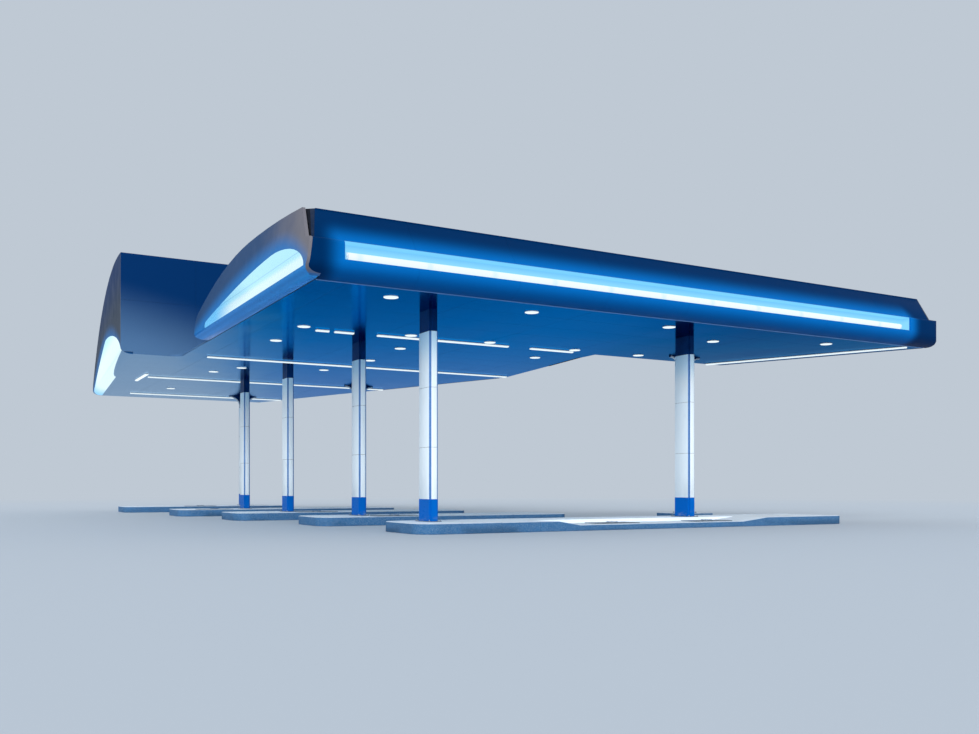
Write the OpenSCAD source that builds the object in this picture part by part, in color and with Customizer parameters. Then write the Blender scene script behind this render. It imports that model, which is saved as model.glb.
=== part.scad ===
// Filling station canopy: an L-shaped roof of two winged decks on blade columns and raised islands.
// Plan positions are measured from the front left corner of the canopy's bounding rectangle:
// x to the right, y to the back. Heights on the wings are measured from the soffit.

/* [Canopy] */
// Overall width, across the front
canopy_w = 20000; // [19600:50:20600]
// Overall depth, from the front lip to the back nose
canopy_d = 27250; // [27000:50:27600]
// Height of the soffit above the ground
soffit_h = 5000; // [4600:50:5400]
// Thickness of roof skins, cheeks and faces
skin = 80; // [70:5:90]
// Thickness of the soffit panels
soffit_t = 60; // [40:5:80]

/* [Front wing] */
// Outermost line of its left side
front_left = 1400; // [1350:10:1450]
// Height of its crown
front_rise = 1610; // [1570:10:1650]
// Place of its crown behind the lip
front_crown = 4600; // [4500:50:4700]
// Radius of the roof in front of the crown
fore_r = 39000; // [37000:500:41000]
// Radius of the roof behind the crown
rear_r = 13000; // [12800:50:13200]
// Back of its deep part
front_back = 9550; // [9500:10:9600]
// Left end of the bar that reaches to the right
bar_left = 12500; // [12400:50:12600]
// Back of that bar
bar_back = 7000; // [6900:50:7100]
// Angle at which the right end runs in towards the back
end_sweep = 22.8; // [20:0.2:24]
// Radius of the rounded corner between the front and the right end, in plan
end_round = 340; // [300:10:380]

/* [Left sides] */
// Width of the curve that leads up from the soffit
under_w = 350; // [320:10:380]
// Height of that curve
under_h = 170; // [150:5:190]
// Angle at which the front wing's left side leans in above it
side_lean = 7; // [6:0.5:8]
// Thickness of that side
cheek_t = 60; // [55:1:65]

/* [Front fascia] */
// Depth of the lip's undercurve
lip_deep = 500; // [400:10:550]
// Height of the lip's foremost line
lip_h = 320; // [300:10:340]
// Height of the shelf over the light slot
shelf_h = 710; // [705:5:740]
// Foot of the upper panel behind the lip
upper_foot = 160; // [140:10:200]
// Top of the upper panel behind the lip
upper_top = 650; // [600:10:700]
// Bottom of the light slot
slot_low = 330; // [330:5:350]
// Top of the light slot
slot_high = 695; // [680:5:700]
// Depth of the light slot
slot_deep = 300; // [280:10:320]
// Where the slot starts, from the left end of the wing
slot_in = 760; // [700:10:850]
// Where the slot stops, short of the right end
slot_out = 1330; // [1200:10:1400]
// Radius of the light tube
tube_r = 80; // [60:5:90]
// Width of the shadow gaps beside the corner pieces
shadow_gap = 30; // [20:5:40]
// Set-back of the left side's edge behind the upper panel
side_back = 60; // [40:5:80]

/* [Back wing] */
// Place of the tall front face of the back wing
back_face = 12900; // [12800:50:13000]
// Height of its crown
back_rise = 3200; // [3100:50:3300]
// Place of its crown
back_crown = 16000; // [15800:50:16200]
// Radius of its roof
back_r = 24000; // [23000:250:25000]
// Angle at which its left side runs in towards the back
left_taper = 3.7; // [3:0.1:4.4]
// Widest point of the leg, across
leg_right = 13200; // [13100:50:13300]
// Place where the leg starts to narrow
leg_bend = 12600; // [12500:50:12700]
// Angle at which the leg's right side runs in
leg_sweep = 19.3; // [18:0.1:20]

/* [End lights] */
// Thickness of the diffusers
lens_t = 40; // [30:5:50]

/* [Columns] */
// Width of a column across the front
column_w = 220; // [200:5:240]
// Depth of a column
column_d = 600; // [560:10:640]
// Size of the recessed corner grooves
groove = 40; // [30:5:50]
// Height of the base sleeve
sleeve_h = 510; // [450:10:560]
// Height of the dark collar at the head
collar_h = 490; // [440:10:540]
// Reach of the curved brackets
bracket_reach = 480; // [400:10:490]

/* [Islands] */
// Height of the kerbs
kerb_h = 230; // [200:5:250]
// Width of the kerbs
kerb_w = 150; // [130:5:180]
// Edge of an island in front of its column line
island_front = 1550; // [1500:10:1600]
// Edge of an island behind its column line
island_back = 650; // [600:10:700]
// Depth of the low bay in the first island
bay_drop = 95; // [60:5:120]

/* [Hidden] */

// The columns' places. The first five show in front; the last three stand behind others.
COLUMNS = [[5070, 2400], [12640, 2400], [5450, 7600], [5070, 12800], [5070, 18000],
    [9560, 18000], [6720, 24500], [15170, 5300]];
PAD_COLUMN = COLUMNS[7];
BRACKET_COLUMNS = [COLUMNS[5], COLUMNS[6], COLUMNS[7]];

// Each island's left end, right end and column line
ISLANDS = [[4130, 17000, 2400], [3800, 11400, 7600], [3000, 10800, 12800],
    [2400, 10500, 18000], [1600, 8300, 24500]];

// The steel base plates for forecourt equipment: centre and height of the concrete under them
slab_z = kerb_h - 10;
BASES = [[9500, 1400, kerb_h - bay_drop], [12500, 1400, kerb_h - bay_drop], [6140, 6750, slab_z],
    [5740, 11950, slab_z], [3750, 17150, slab_z], [4700, 23650, slab_z]];
base_size = [1200, 600, 20];
base_bolts = [1050, 450];
base_hole_r = 9;

// The soffit's strip lights: a start point, a length and a turn from the x direction
STRIPS = [[3660, 6000, 340, 0], [4160, 6000, 510, 0], [5330, 6000, 1320, 0],
    [7050, 6000, 2250, 0], [10050, 6000, 1450, 0], [2400, 12310, 10550, 0], [1750, 18630, 9100, 0],
    [1570, 17800, 2200, 90], [2130, 25080, 6450, 0], [19200, 540, 6100, 90 + end_sweep]];
DOWNLIGHTS = [[3670, 1300], [7150, 1300], [11180, 1300], [16800, 1300], [13740, 2500],
    [3240, 5690], [6130, 5640], [8520, 5660], [11370, 5690],
    [3290, 8200], [6830, 7900], [11210, 7600], [13660, 5650], [7050, 10700], [6600, 13700],
    [4020, 14500], [3450, 16000], [3260, 22400]];

// Bends of the curves, as a number of straight stretches
FORE_STEPS = 5;
REAR_STEPS = 8;
NOSE_STEPS = 8;
BEND_STEPS = 8;
ROUND_STEPS = 4;
LENS_STEPS = 10;

// Each wing's crown, rise, and radius before and behind the crown
FRONT = [front_crown, front_rise, fore_r, rear_r];
BACK = [back_crown, back_rise, back_r, back_r];

flare = atan2(leg_right - bar_left, leg_bend - bar_back);
function leg_x(y) = y > leg_bend
    ? leg_right - (y - leg_bend) * tan(leg_sweep)
    : bar_left + (y - bar_back) * tan(flare);

// Where the lines of the front and the right end would meet without the rounded corner
corner_span = 1 / tan((90 - end_sweep) / 2);
end_corner = canopy_w + end_round * (corner_span - 1);
function end_x(y) = end_corner - y * tan(end_sweep);

function taper_x(y) = (y - back_face) * tan(left_taper);

// Radius of the nose that meets both the roof arc and the soffit
function nose_r(back, wing) =
    let (d = back - wing[0], k = 2 * wing[3] - wing[1])
    d - k + sqrt((k - d) * (k - d) - d * d + k * wing[1]);

// A point on an arc whose top is at the wing's crown
function on_arc(wing, r, t, a) = [wing[0] + (r - t) * sin(a), wing[1] - r + (r - t) * cos(a)];

// The roof line from front to nose, cut back by a thickness t
function roof_line(front, back, wing, t = 0) =
    let (
        fore = wing[2],
        rear = wing[3],
        r = nose_r(back, wing),
        yc = back - r,
        first = asin(min(0, front - wing[0]) / (fore - t)),
        start = asin(max(0, front - wing[0]) / (rear - t)),
        turn = atan2(yc - wing[0], r + rear - wing[1])
    )
    concat(
        first < 0 ? [for (i = [0:FORE_STEPS - 1])
            on_arc(wing, fore, t, first * (1 - i / FORE_STEPS))] : [],
        [for (i = [0:REAR_STEPS]) on_arc(wing, rear, t, start + (turn - start) * i / REAR_STEPS)],
        [for (i = [1:NOSE_STEPS]) let (a = turn + (180 - turn) * i / NOSE_STEPS)
            [yc + (r - t) * sin(a), r + (r - t) * cos(a)]]
    );

function reversed(points) = [for (i = [len(points) - 1:-1:0]) points[i]];

module placed() translate([-canopy_w / 2, -canopy_d / 2, 0]) children();

// Draws a side view (y across, height up from the soffit) and extends it from x0 to x1
module along_x(x0, x1)
    translate([x0, 0, soffit_h]) rotate([90, 0, 90]) linear_extrude(x1 - x0) children();

// Draws a front view (x across, height up from the soffit) and extends it from y0 to y1
module along_y(y0, y1)
    translate([0, y1, soffit_h]) rotate([90, 0, 0]) linear_extrude(y1 - y0) children();

// All that lies inside the front and the right end, cut back by a thickness t
module right_bound(t) {
    turns = concat([for (i = [0:ROUND_STEPS]) 90 * (i / ROUND_STEPS - 1)], [end_sweep / 2, end_sweep]);
    translate([0, 0, soffit_h]) linear_extrude(front_rise) polygon(concat(
        [[0, t]],
        [for (a = turns) [end_corner - corner_span * end_round + (end_round - t) * cos(a),
            end_round + (end_round - t) * sin(a)]],
        [[end_x(canopy_d) - t / cos(end_sweep), canopy_d], [0, canopy_d]]
    ));
}

// All that lies on one side of a plane, where its normal points; the point's height is from the soffit
module half_space(point, normal) {
    size = canopy_w + canopy_d;
    translate(point + [0, 0, soffit_h])
        rotate([0, -asin(normal[2] / norm(normal)), atan2(normal[1], normal[0])])
            translate([0, -size, -size]) cube([size, 2 * size, 2 * size]);
}

// Length by which cutting shapes start before the line that they are placed on, and height by
// which they stand over the higher wing
run_out = 2000;
over_h = 100;

// An upright slab on a line that starts at a point and is turned from the y direction
module upright_slab(start, turn, from, to, low, high)
    translate([start[0], start[1], soffit_h + low]) rotate(turn)
        translate([from, -run_out, 0]) cube([to - from, canopy_d, high - low]);

// An upright prism over a plan, tall enough for both wings
module over_plan(points) translate([0, 0, soffit_h]) linear_extrude(back_rise) polygon(points);

module roof_shell(front, back, wing)
    polygon(concat(roof_line(front, back, wing), reversed(roof_line(front, back, wing, skin))));

module wing_side(front, back, wing) polygon(concat(roof_line(front, back, wing), [[front, 0]]));

// Front view of what lies right of a left side, cut back by a thickness t: the undercurve, then
// the leaning side above it
module side_bound(outer, lean, t) {
    top = back_rise + over_h;
    polygon(concat(
        t > 0 ? [[outer + under_w, 0]] : [],
        [for (i = [0:BEND_STEPS]) let (a = 90 * i / BEND_STEPS)
            [outer + under_w - (under_w - t) * sin(a), under_h - (under_h - t) * cos(a)]],
        [[outer + t + (top - under_h) * tan(lean), top], [canopy_w, top], [canopy_w, 0]]
    ));
}

module side_band(outer, lean, t) difference() {
    side_bound(outer, lean, 0);
    side_bound(outer, lean, t);
}

module front_left_bound(t) along_y(-1, back_face) side_bound(front_left, side_lean, t);
module front_left_band(t) along_y(-1, back_face) side_band(front_left, side_lean, t);

module on_taper() translate([0, back_face, 0]) rotate(-left_taper) along_y(-run_out, canopy_d)
    children();

// Islands

module island_plan(island, inset) {
    left_r = 500;
    right_r = 300;
    front = island[2] - island_front + inset;
    back = island[2] + island_back - inset;
    left = island[0] + inset;
    right = island[1] - inset;
    union() {
        for (y = [front + left_r - inset, back - left_r + inset])
            translate([left + left_r - inset, y]) circle(left_r - inset, $fn = 32);
        for (y = [front + right_r - inset, back - right_r + inset])
            translate([right - right_r + inset, y]) circle(right_r - inset, $fn = 32);
        translate([left, front + left_r - inset])
            square([left_r, back - front - 2 * (left_r - inset)]);
        translate([right - right_r, front + right_r - inset])
            square([right_r, back - front - 2 * (right_r - inset)]);
        translate([left + left_r - inset, front])
            square([right - left - left_r - right_r + 2 * inset, back - front]);
    }
}

// The low bay in the first island's front edge. Its left ramp runs between the first two places
// and its right ramp between the last two.
module low_bay() {
    bay = [7600, 8200, 13250, 14100];
    depth = 1150;
    spare = 50;
    first_front = COLUMNS[0][1] - island_front;
    translate([0, first_front + depth, kerb_h]) rotate([90, 0, 0]) linear_extrude(depth + spare)
        polygon([[bay[0], 0], [bay[0], spare], [bay[3], spare], [bay[3], 0],
            [bay[2], -bay_drop], [bay[1], -bay_drop]]);
}

module kerb(index) color("slategray") placed() difference() {
    linear_extrude(kerb_h) island_plan(ISLANDS[index], 0);
    translate([0, 0, -1]) linear_extrude(kerb_h + 2) island_plan(ISLANDS[index], kerb_w);
    if (index == 0) low_bay();
}

module island_slabs() color("lightsteelblue") placed() {
    for (island = ISLANDS) difference() {
        linear_extrude(slab_z) island_plan(island, kerb_w);
        low_bay();
    }
}

pad_size = 1200;

module column_pad() color("slategray") placed()
    translate([PAD_COLUMN[0] - pad_size / 2, PAD_COLUMN[1] - pad_size / 2, 0])
        cube([pad_size, pad_size, slab_z]);

module equipment_bases() color("silver") placed() for (base = BASES)
    translate([base[0] - base_size[0] / 2, base[1] - base_size[1] / 2, base[2]]) difference() {
        cube(base_size);
        for (x = [-1, 1], y = [-1, 1])
            translate([(base_size[0] + x * base_bolts[0]) / 2,
                (base_size[1] + y * base_bolts[1]) / 2, -1])
                cylinder(r = base_hole_r, h = base_size[2] + 2, $fn = 24);
    }

// Columns

// How far the sleeves stand proud of the columns, and how far the collars stand in
sleeve_out = 3;
collar_in = 8;

module column_section(inset) {
    square([column_w - 2 * groove - 2 * inset, column_d - 2 * inset], center = true);
    square([column_w - 2 * inset, column_d - 2 * groove - 2 * inset], center = true);
}

core_w = 110;
core_d = 420;

module core_section() square([core_w, core_d], center = true);

module at_column(place, z) translate([place[0], place[1], z]) children();

module clad(z0, z1, inset) difference() {
    translate([0, 0, z0]) linear_extrude(z1 - z0) column_section(inset);
    translate([0, 0, z0 - 1]) linear_extrude(z1 - z0 + 2) core_section();
}

module column_cores() color("gray") placed() for (place = COLUMNS)
    at_column(place, slab_z) linear_extrude(soffit_h + soffit_t - slab_z) core_section();

module column(index) color("white") placed()
    at_column(COLUMNS[index], 0) clad(slab_z + sleeve_h, soffit_h - collar_h, 0);

module base_sleeves() color("royalblue") placed() for (place = COLUMNS)
    at_column(place, 0) clad(slab_z, slab_z + sleeve_h, -sleeve_out);

module head_collars() color("midnightblue") placed() for (place = COLUMNS)
    at_column(place, 0) clad(soffit_h - collar_h, soffit_h, collar_in);

// A plate with a hollow quarter round, in the corner of a column and the soffit
module bracket() {
    thick = 70;
    rim = 45;
    side = column_w / 2 - collar_in;
    translate([side, thick / 2, soffit_h]) rotate([90, 0, 0]) linear_extrude(thick)
        difference() {
            translate([0, -bracket_reach]) square(bracket_reach);
            translate([bracket_reach, -bracket_reach])
                circle(bracket_reach - rim, $fn = 64);
        }
}

module head_brackets() color("lightsteelblue") placed() for (place = BRACKET_COLUMNS)
    at_column(place, 0) {
        bracket();
        mirror([1, 0, 0]) bracket();
    }

// Steel inside the wings

beam_w = 200;
beam_h = 350;
beam_low = soffit_h + soffit_t;

// Beams along y, each [x, front, back], and beams along x, each [y, left, right]
BEAMS_Y = [[5070, 1200, 26000], [5450, 2400, 12800], [12640, 1200, 5300], [9560, 2400, 22000],
    [6720, 18000, 26000]];
BEAMS_X = [[2400, 2100, 17800], [5300, 2100, 16500], [12800, 2600, 12400], [18000, 1500, 10500],
    [24500, 1900, 8300]];

module steel_beams() color("dimgray") placed() {
    for (beam = BEAMS_Y)
        translate([beam[0] - beam_w / 2, beam[1], beam_low]) cube([beam_w, beam[2] - beam[1], beam_h]);
    for (beam = BEAMS_X)
        translate([beam[1], beam[0] - beam_w / 2, beam_low]) cube([beam[2] - beam[1], beam_w, beam_h]);
}

// The ribs' places across, in the front wing, its bar and the back wing
RIBS_FRONT = [3000, 6200, 9200, 11900];
RIBS_BAR = [14200, 16000];
RIBS_BACK = [2200, 4500, 7200];
rib_front = 1200;
rib_t = 60;
// Share of a nose's radius by which a rib's back end stands short of the nose
rib_short = 0.25;

// Side view of a rib between the beams and the roof skin
module rib_side(front, back, wing) intersection() {
    polygon(concat(roof_line(front, back, wing, skin), [[front, 0]]));
    translate([front, soffit_t + beam_h])
        square([back - front - rib_short * nose_r(back, wing), wing[1]]);
}

module front_ribs() color("dimgray") placed() {
    for (x = RIBS_FRONT) along_x(x, x + rib_t) rib_side(rib_front, front_back, FRONT);
    for (x = RIBS_BAR) along_x(x, x + rib_t) rib_side(rib_front, bar_back, FRONT);
}

module back_ribs() color("dimgray") placed() for (x = RIBS_BACK)
    along_x(x, x + rib_t) rib_side(back_face + skin, canopy_d, BACK);

// Soffit

module core_holes() for (place = COLUMNS)
    at_column(place, soffit_h - 1) linear_extrude(soffit_t + 2) core_section();

module soffit_slab(points) difference() {
    translate([0, 0, soffit_h]) linear_extrude(soffit_t) polygon(points);
    core_holes();
}

front_nose = nose_r(front_back, FRONT);
bar_nose = nose_r(bar_back, FRONT);
back_nose = nose_r(canopy_d, BACK);

// The seams where the soffit meets the undercurves, and the rounded inner corner between the wings
seam_x = front_left + under_w;
notch_r = 300;
function back_seam_x(y) = taper_x(y) + under_w / cos(left_taper);

module soffit_front() color("steelblue") placed() soffit_slab(concat(
    [[seam_x, lip_deep], [bar_left, lip_deep], [bar_left, bar_back],
        [leg_x(leg_bend) - skin, leg_bend], [leg_x(back_face) - skin, back_face]],
    [for (i = [0:ROUND_STEPS]) let (a = 90 * (1 - i / ROUND_STEPS))
        [seam_x - notch_r + notch_r * cos(a), back_face - notch_r + notch_r * sin(a)]]
));

module soffit_bar() color("steelblue") placed() intersection() {
    soffit_slab([[bar_left, lip_deep], [canopy_w, lip_deep], [canopy_w, bar_back - bar_nose],
        [bar_left, bar_back - bar_nose]]);
    right_bound(skin);
}

module soffit_back() color("steelblue") placed() soffit_slab([
    [back_seam_x(back_face), back_face], [leg_x(back_face) - skin, back_face],
    [leg_x(canopy_d - back_nose) - skin, canopy_d - back_nose],
    [back_seam_x(canopy_d - back_nose), canopy_d - back_nose]
]);

// Roofs

roof_front = upper_top + skin;

module front_roof() color("lightgray") placed() intersection() {
    along_x(0, canopy_w) roof_shell(roof_front, front_back, FRONT);
    front_left_bound(cheek_t);
    half_space(facet_inner, -facet_normal);
    over_plan([
        [0, 0], [bar_left, 0], [bar_left, bar_back],
        [leg_x(bar_back) - skin, bar_back], [leg_x(front_back) - skin, front_back + 1],
        [0, front_back + 1]
    ]);
}

module bar_roof() color("lightgray") placed() intersection() {
    along_x(bar_left, canopy_w) roof_shell(roof_front, bar_back, FRONT);
    right_bound(skin);
    half_space(end_facet_inner, -end_facet_normal);
}

module back_roof() color("lightgray") placed() intersection() {
    along_x(0, canopy_w) roof_shell(back_face + skin, canopy_d, BACK);
    on_taper() side_bound(0, 0, skin);
    upright_slab([leg_right, leg_bend], leg_sweep, -canopy_w, -skin, -1, back_rise + 1);
}

// Front fascia

function front_top(y) = roof_line(y, front_back, FRONT)[0];

// How far the lower fascia lies over the soffit, and the size of its rounding up to the shelf
lip_lap = 60;
fascia_back = lip_deep + lip_lap;
round_w = 95;
round_h = 95;

// Side view of the lip: the undercurve, the upright front, and the rounding up to the shelf
function lip_line() = concat(
    [for (i = [0:BEND_STEPS]) let (a = 90 * i / BEND_STEPS)
        [lip_deep * (1 - sin(a)), lip_h * (1 - cos(a))]],
    [for (i = [0:ROUND_STEPS]) let (a = 90 * i / ROUND_STEPS)
        [round_w * (1 - cos(a)), shelf_h - round_h * (1 - sin(a))]]
);

module upper_section() polygon([
    [upper_foot, shelf_h], front_top(upper_top), front_top(roof_front),
    [upper_foot + skin, shelf_h]
]);

module lower_section() polygon(concat(
    lip_line(),
    [[fascia_back, shelf_h], [fascia_back, soffit_t], [lip_deep, soffit_t]]
));

slot_left = front_left + slot_in;
slot_right = canopy_w - slot_out;

module slot_pocket() translate([slot_left, -1, soffit_h + slot_low])
    cube([slot_right - slot_left, slot_deep + 1, slot_high - slot_low]);

// Each end of the upper fascia turns back along a facet, which starts at a leaning hip line. The
// insets are measured from the end of the wing, at the hip's foot and at its top.
hip_in = [200, 380];
hip_foot = [front_left + hip_in[0], upper_foot, shelf_h];
hip_top = [front_left + hip_in[1], upper_top, front_top(upper_top)[1]];
facet_run = [-180, 150, 0];
mitre_run = [34, 94, 0];
facet_normal = cross(hip_top - hip_foot, facet_run);
mitre_normal = cross(hip_top - hip_foot, mitre_run);
facet_inner = hip_foot - skin * facet_normal / norm(facet_normal);

end_hip_in = [360, 200];
end_hip_foot = [canopy_w - end_hip_in[0], upper_foot, shelf_h];
end_hip_top = [canopy_w - end_hip_in[1], upper_top, front_top(upper_top)[1]];
end_facet_run = [360, 180, 0];
end_mitre_run = [-24, 100, 0];
end_facet_normal = cross(end_facet_run, end_hip_top - end_hip_foot);
end_mitre_normal = cross(end_mitre_run, end_hip_top - end_hip_foot);
end_facet_inner = end_hip_foot - skin * end_facet_normal / norm(end_facet_normal);

module fascia_upper() color("midnightblue") placed() intersection() {
    along_x(front_left, canopy_w) upper_section();
    half_space(hip_foot, -mitre_normal);
    half_space(end_hip_foot, -end_mitre_normal);
    right_bound(skin);
}

module fascia_lower() color("midnightblue") placed() difference() {
    intersection() {
        along_x(front_left, canopy_w) lower_section();
        front_left_bound(cheek_t);
        right_bound(0);
    }
    slot_pocket();
}

module fascia_corners() color("lightsteelblue") placed() {
    intersection() {
        half_space(hip_foot, -facet_normal);
        half_space(facet_inner, facet_normal);
        half_space(hip_foot, mitre_normal);
        front_left_bound(cheek_t + shadow_gap);
        translate([front_left, 0, soffit_h + shelf_h]) cube([
            hip_top[0] - front_left, 2 * upper_top, hip_top[2] - shelf_h]);
    }
    intersection() {
        half_space(end_hip_foot, -end_facet_normal);
        half_space(end_facet_inner, end_facet_normal);
        half_space(end_hip_foot, end_mitre_normal);
        right_bound(0);
        translate([bar_left, 0, soffit_h + shelf_h])
            cube([canopy_w - bar_left, 2 * upper_top, end_hip_top[2] - shelf_h]);
    }
}

tray_t = 15;
tray_front = 60;
// The tube's distance behind the tray's front edge, and how far its ends stand inside the slot
tube_gap = 20;
tube_in = [60, 280];

module light_tray() color("lightskyblue") placed() difference() {
    intersection() {
        slot_pocket();
        translate([0, tray_front, 0]) cube([canopy_w, slot_deep, 2 * soffit_h]);
    }
    translate([slot_left + tray_t, 0, soffit_h + slot_low + tray_t])
        cube([slot_right - slot_left - 2 * tray_t, slot_deep - tray_t,
            slot_high - slot_low - 2 * tray_t]);
}

module light_tube() color("white") placed()
    translate([slot_left + tube_in[0], tray_front + tube_gap + tube_r,
        soffit_h + slot_low + tray_t + tube_r])
        rotate([0, 90, 0])
            cylinder(r = tube_r, h = slot_right - slot_left - tube_in[0] - tube_in[1], $fn = 32);

// Cheeks and end lights

// Side view of an end light: a swelling nose, a falling tail and a round tip. A light is written
// as the places of its front, peak and tail, the heights of its foot in front and behind, of its
// peak and of its tail, and the powers of the nose's and the tail's curves.
tip_w = 80;
module lens_side(light) {
    front = light[0][0];
    peak = light[0][1];
    tail = light[0][2];
    foot = light[1][0];
    low = light[1][1];
    top = light[1][2];
    end = light[1][3];
    polygon(concat(
        [for (i = [0:LENS_STEPS]) let (a = 90 * i / LENS_STEPS)
            [peak - (peak - front) * pow(cos(a), light[2][0]),
                foot + (top - foot) * pow(sin(a), light[2][0])]],
        [for (i = [1:LENS_STEPS]) let (t = i / LENS_STEPS)
            [peak + (tail - peak) * t, top - (top - end) * pow(t, light[2][1])]],
        [for (i = [1:ROUND_STEPS]) let (a = 180 * i / ROUND_STEPS)
            [tail + tip_w * sin(a), (end + low) / 2 + (end - low) / 2 * cos(a)]],
        [[peak, low]]
    ));
}

FRONT_LENS = [[200, 2500, 8220], [under_h, under_h, 865, 340], [1.14, 1.6]];
END_LENS = [[900, 2600, 5400], [240, 240, 900, 340], [1.14, 1.6]];
BACK_LENS = [[12950, 19400, 26900], [100, 0, 1280, 50], [1.33, 1.2]];

// Side view of the front wing's left end, from the lip to the nose
module left_end_side() polygon(concat(
    roof_line(upper_top + side_back, front_back, FRONT),
    lip_line(),
    [[upper_foot + side_back, shelf_h]]
));

module front_lens_solid() intersection() {
    front_left_band(lens_t);
    along_x(0, bar_left) lens_side(FRONT_LENS);
}

module front_cheek() color("silver") placed() difference() {
    intersection() {
        front_left_band(cheek_t);
        along_x(0, bar_left) difference() {
            left_end_side();
            square([front_back, under_h]);
        }
    }
    front_lens_solid();
}

module front_lens() color("white") placed() front_lens_solid();

module edge_trim() color("steelblue") placed() intersection() {
    front_left_band(cheek_t);
    along_x(0, bar_left) intersection() {
        left_end_side();
        square([front_back, under_h]);
    }
}

module end_side() polygon(concat(
    roof_line(upper_top, bar_back, FRONT),
    [[fascia_back, 0], [fascia_back, shelf_h], [upper_foot, shelf_h]]
));

module end_cheek() color("silver") placed() difference() {
    intersection() {
        along_x(bar_left, canopy_w) end_side();
        right_bound(0);
        half_space(end_facet_inner, -end_facet_normal);
    }
    right_bound(skin);
    end_lens_solid();
}

module end_lens_solid() intersection() {
    along_x(bar_left, canopy_w) lens_side(END_LENS);
    upright_slab([end_corner, 0], end_sweep, -lens_t, 0, 0, front_rise);
}

module end_lens() color("white") placed() end_lens_solid();

module step_cheek() color("silver") placed() intersection() {
    along_x(bar_left - skin, leg_right) wing_side(bar_back, front_back, FRONT);
    upright_slab([bar_left, bar_back], -flare, -skin, 0, 0, front_rise);
}

// A low flat roof over the beams between the two wings, with a wall at each end
module valley_roof() color("slategray") placed() {
    pan_t = 60;
    pan_low = soffit_t + beam_h;
    valley_left = 2500;
    valley_front = front_back - front_nose;
    difference() {
        intersection() {
            over_plan([
                [valley_left, valley_front], [leg_x(valley_front) - skin, valley_front],
                [leg_x(leg_bend) - skin, leg_bend], [leg_x(back_face) - skin, back_face],
                [valley_left, back_face]
            ]);
            translate([0, 0, soffit_h + soffit_t]) cube([canopy_w, back_face, beam_h + pan_t]);
        }
        translate([valley_left + pan_t, 0, soffit_h])
            cube([bar_left - valley_left, back_face + 1, pan_low]);
        along_x(0, canopy_w) wing_side(lip_deep, front_back, FRONT);
    }
}

module back_side() wing_side(back_face, canopy_d, BACK);

// The face stands on the front edge of the back wing's soffit
module back_wing_face() color("royalblue") placed() intersection() {
    along_x(0, canopy_w) intersection() {
        back_side();
        translate([back_face, soffit_t]) square([skin, back_rise]);
    }
    on_taper() side_bound(0, 0, 0);
    upright_slab([leg_right, leg_bend], leg_sweep, -canopy_w, 0, 0, back_rise);
}

module back_right_slab(t)
    upright_slab([leg_right, leg_bend], leg_sweep, -t, 0, 0, back_rise);
module back_cheek_side() intersection() {
    back_side();
    translate([back_face + skin, 0]) square([canopy_d, back_rise]);
}

module back_left_cheek() color("silver") placed() difference() {
    intersection() {
        along_x(-1, bar_left) back_cheek_side();
        on_taper() side_band(0, 0, skin);
    }
    back_left_lens_solid();
}

module back_left_lens_solid() intersection() {
    along_x(-1, bar_left) intersection() {
        lens_side(BACK_LENS);
        back_cheek_side();
    }
    on_taper() side_band(0, 0, lens_t);
}

module back_left_lens() color("white") placed() back_left_lens_solid();

module back_right_cheek() color("silver") placed() difference() {
    intersection() {
        along_x(bar_left / 2, canopy_w) back_cheek_side();
        back_right_slab(skin);
    }
    back_right_lens_solid();
}

module back_right_lens_solid() intersection() {
    along_x(bar_left / 2, canopy_w) intersection() {
        lens_side(BACK_LENS);
        back_cheek_side();
    }
    back_right_slab(lens_t);
}

module back_right_lens() color("white") placed() back_right_lens_solid();

// Lights under the soffit

strip_w = 120;
strip_drop = 50;
strip_side = 20;
strip_face = 80;

// A channel whose lower corners are bevelled
module soffit_strips() color("white") placed() for (strip = STRIPS)
    translate([strip[0], strip[1], soffit_h]) rotate(strip[3]) rotate([90, 0, 90])
        linear_extrude(strip[2]) polygon([
            [-strip_w / 2, 0], [-strip_w / 2, -strip_side], [-strip_face / 2, -strip_drop],
            [strip_face / 2, -strip_drop], [strip_w / 2, -strip_side], [strip_w / 2, 0]
        ]);

downlight_r = 160;
downlight_drop = 25;
bezel_w = 22;
bezel_bevel = 8;

// A round fitting: a bevelled bezel round a recessed diffuser
module downlights() color("white") placed() for (place = DOWNLIGHTS)
    translate([place[0], place[1], soffit_h]) rotate_extrude($fn = 48) polygon([
        [0, 0], [downlight_r, 0], [downlight_r, bezel_bevel - downlight_drop],
        [downlight_r - bezel_bevel, -downlight_drop], [downlight_r - bezel_w, -downlight_drop],
        [downlight_r - bezel_w - bezel_bevel, bezel_bevel - downlight_drop],
        [0, bezel_bevel - downlight_drop]
    ]);

kerb(0);  // kerb_1
kerb(1);  // kerb_2
kerb(2);  // kerb_3
kerb(3);  // kerb_4
kerb(4);  // kerb_5
island_slabs();
column_pad();
equipment_bases();
column_cores();
column(0);  // column_1
column(1);  // column_2
column(2);  // column_3
column(3);  // column_4
column(4);  // column_5
column(5);  // column_6
column(6);  // column_7
column(7);  // column_8
base_sleeves();
head_collars();
head_brackets();
steel_beams();
front_ribs();
back_ribs();
soffit_front();
soffit_bar();
soffit_back();
front_roof();
bar_roof();
back_roof();
fascia_upper();
fascia_lower();
fascia_corners();
light_tray();
light_tube();
front_cheek();
front_lens();
end_cheek();
end_lens();
step_cheek();
edge_trim();
valley_roof();
back_wing_face();
back_left_cheek();
back_left_lens();
back_right_cheek();
back_right_lens();
soffit_strips();
downlights();
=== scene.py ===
"""Dresses the solids of a filling station canopy: seams, joints, lights, fittings and finishes."""

import functools
import math

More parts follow.
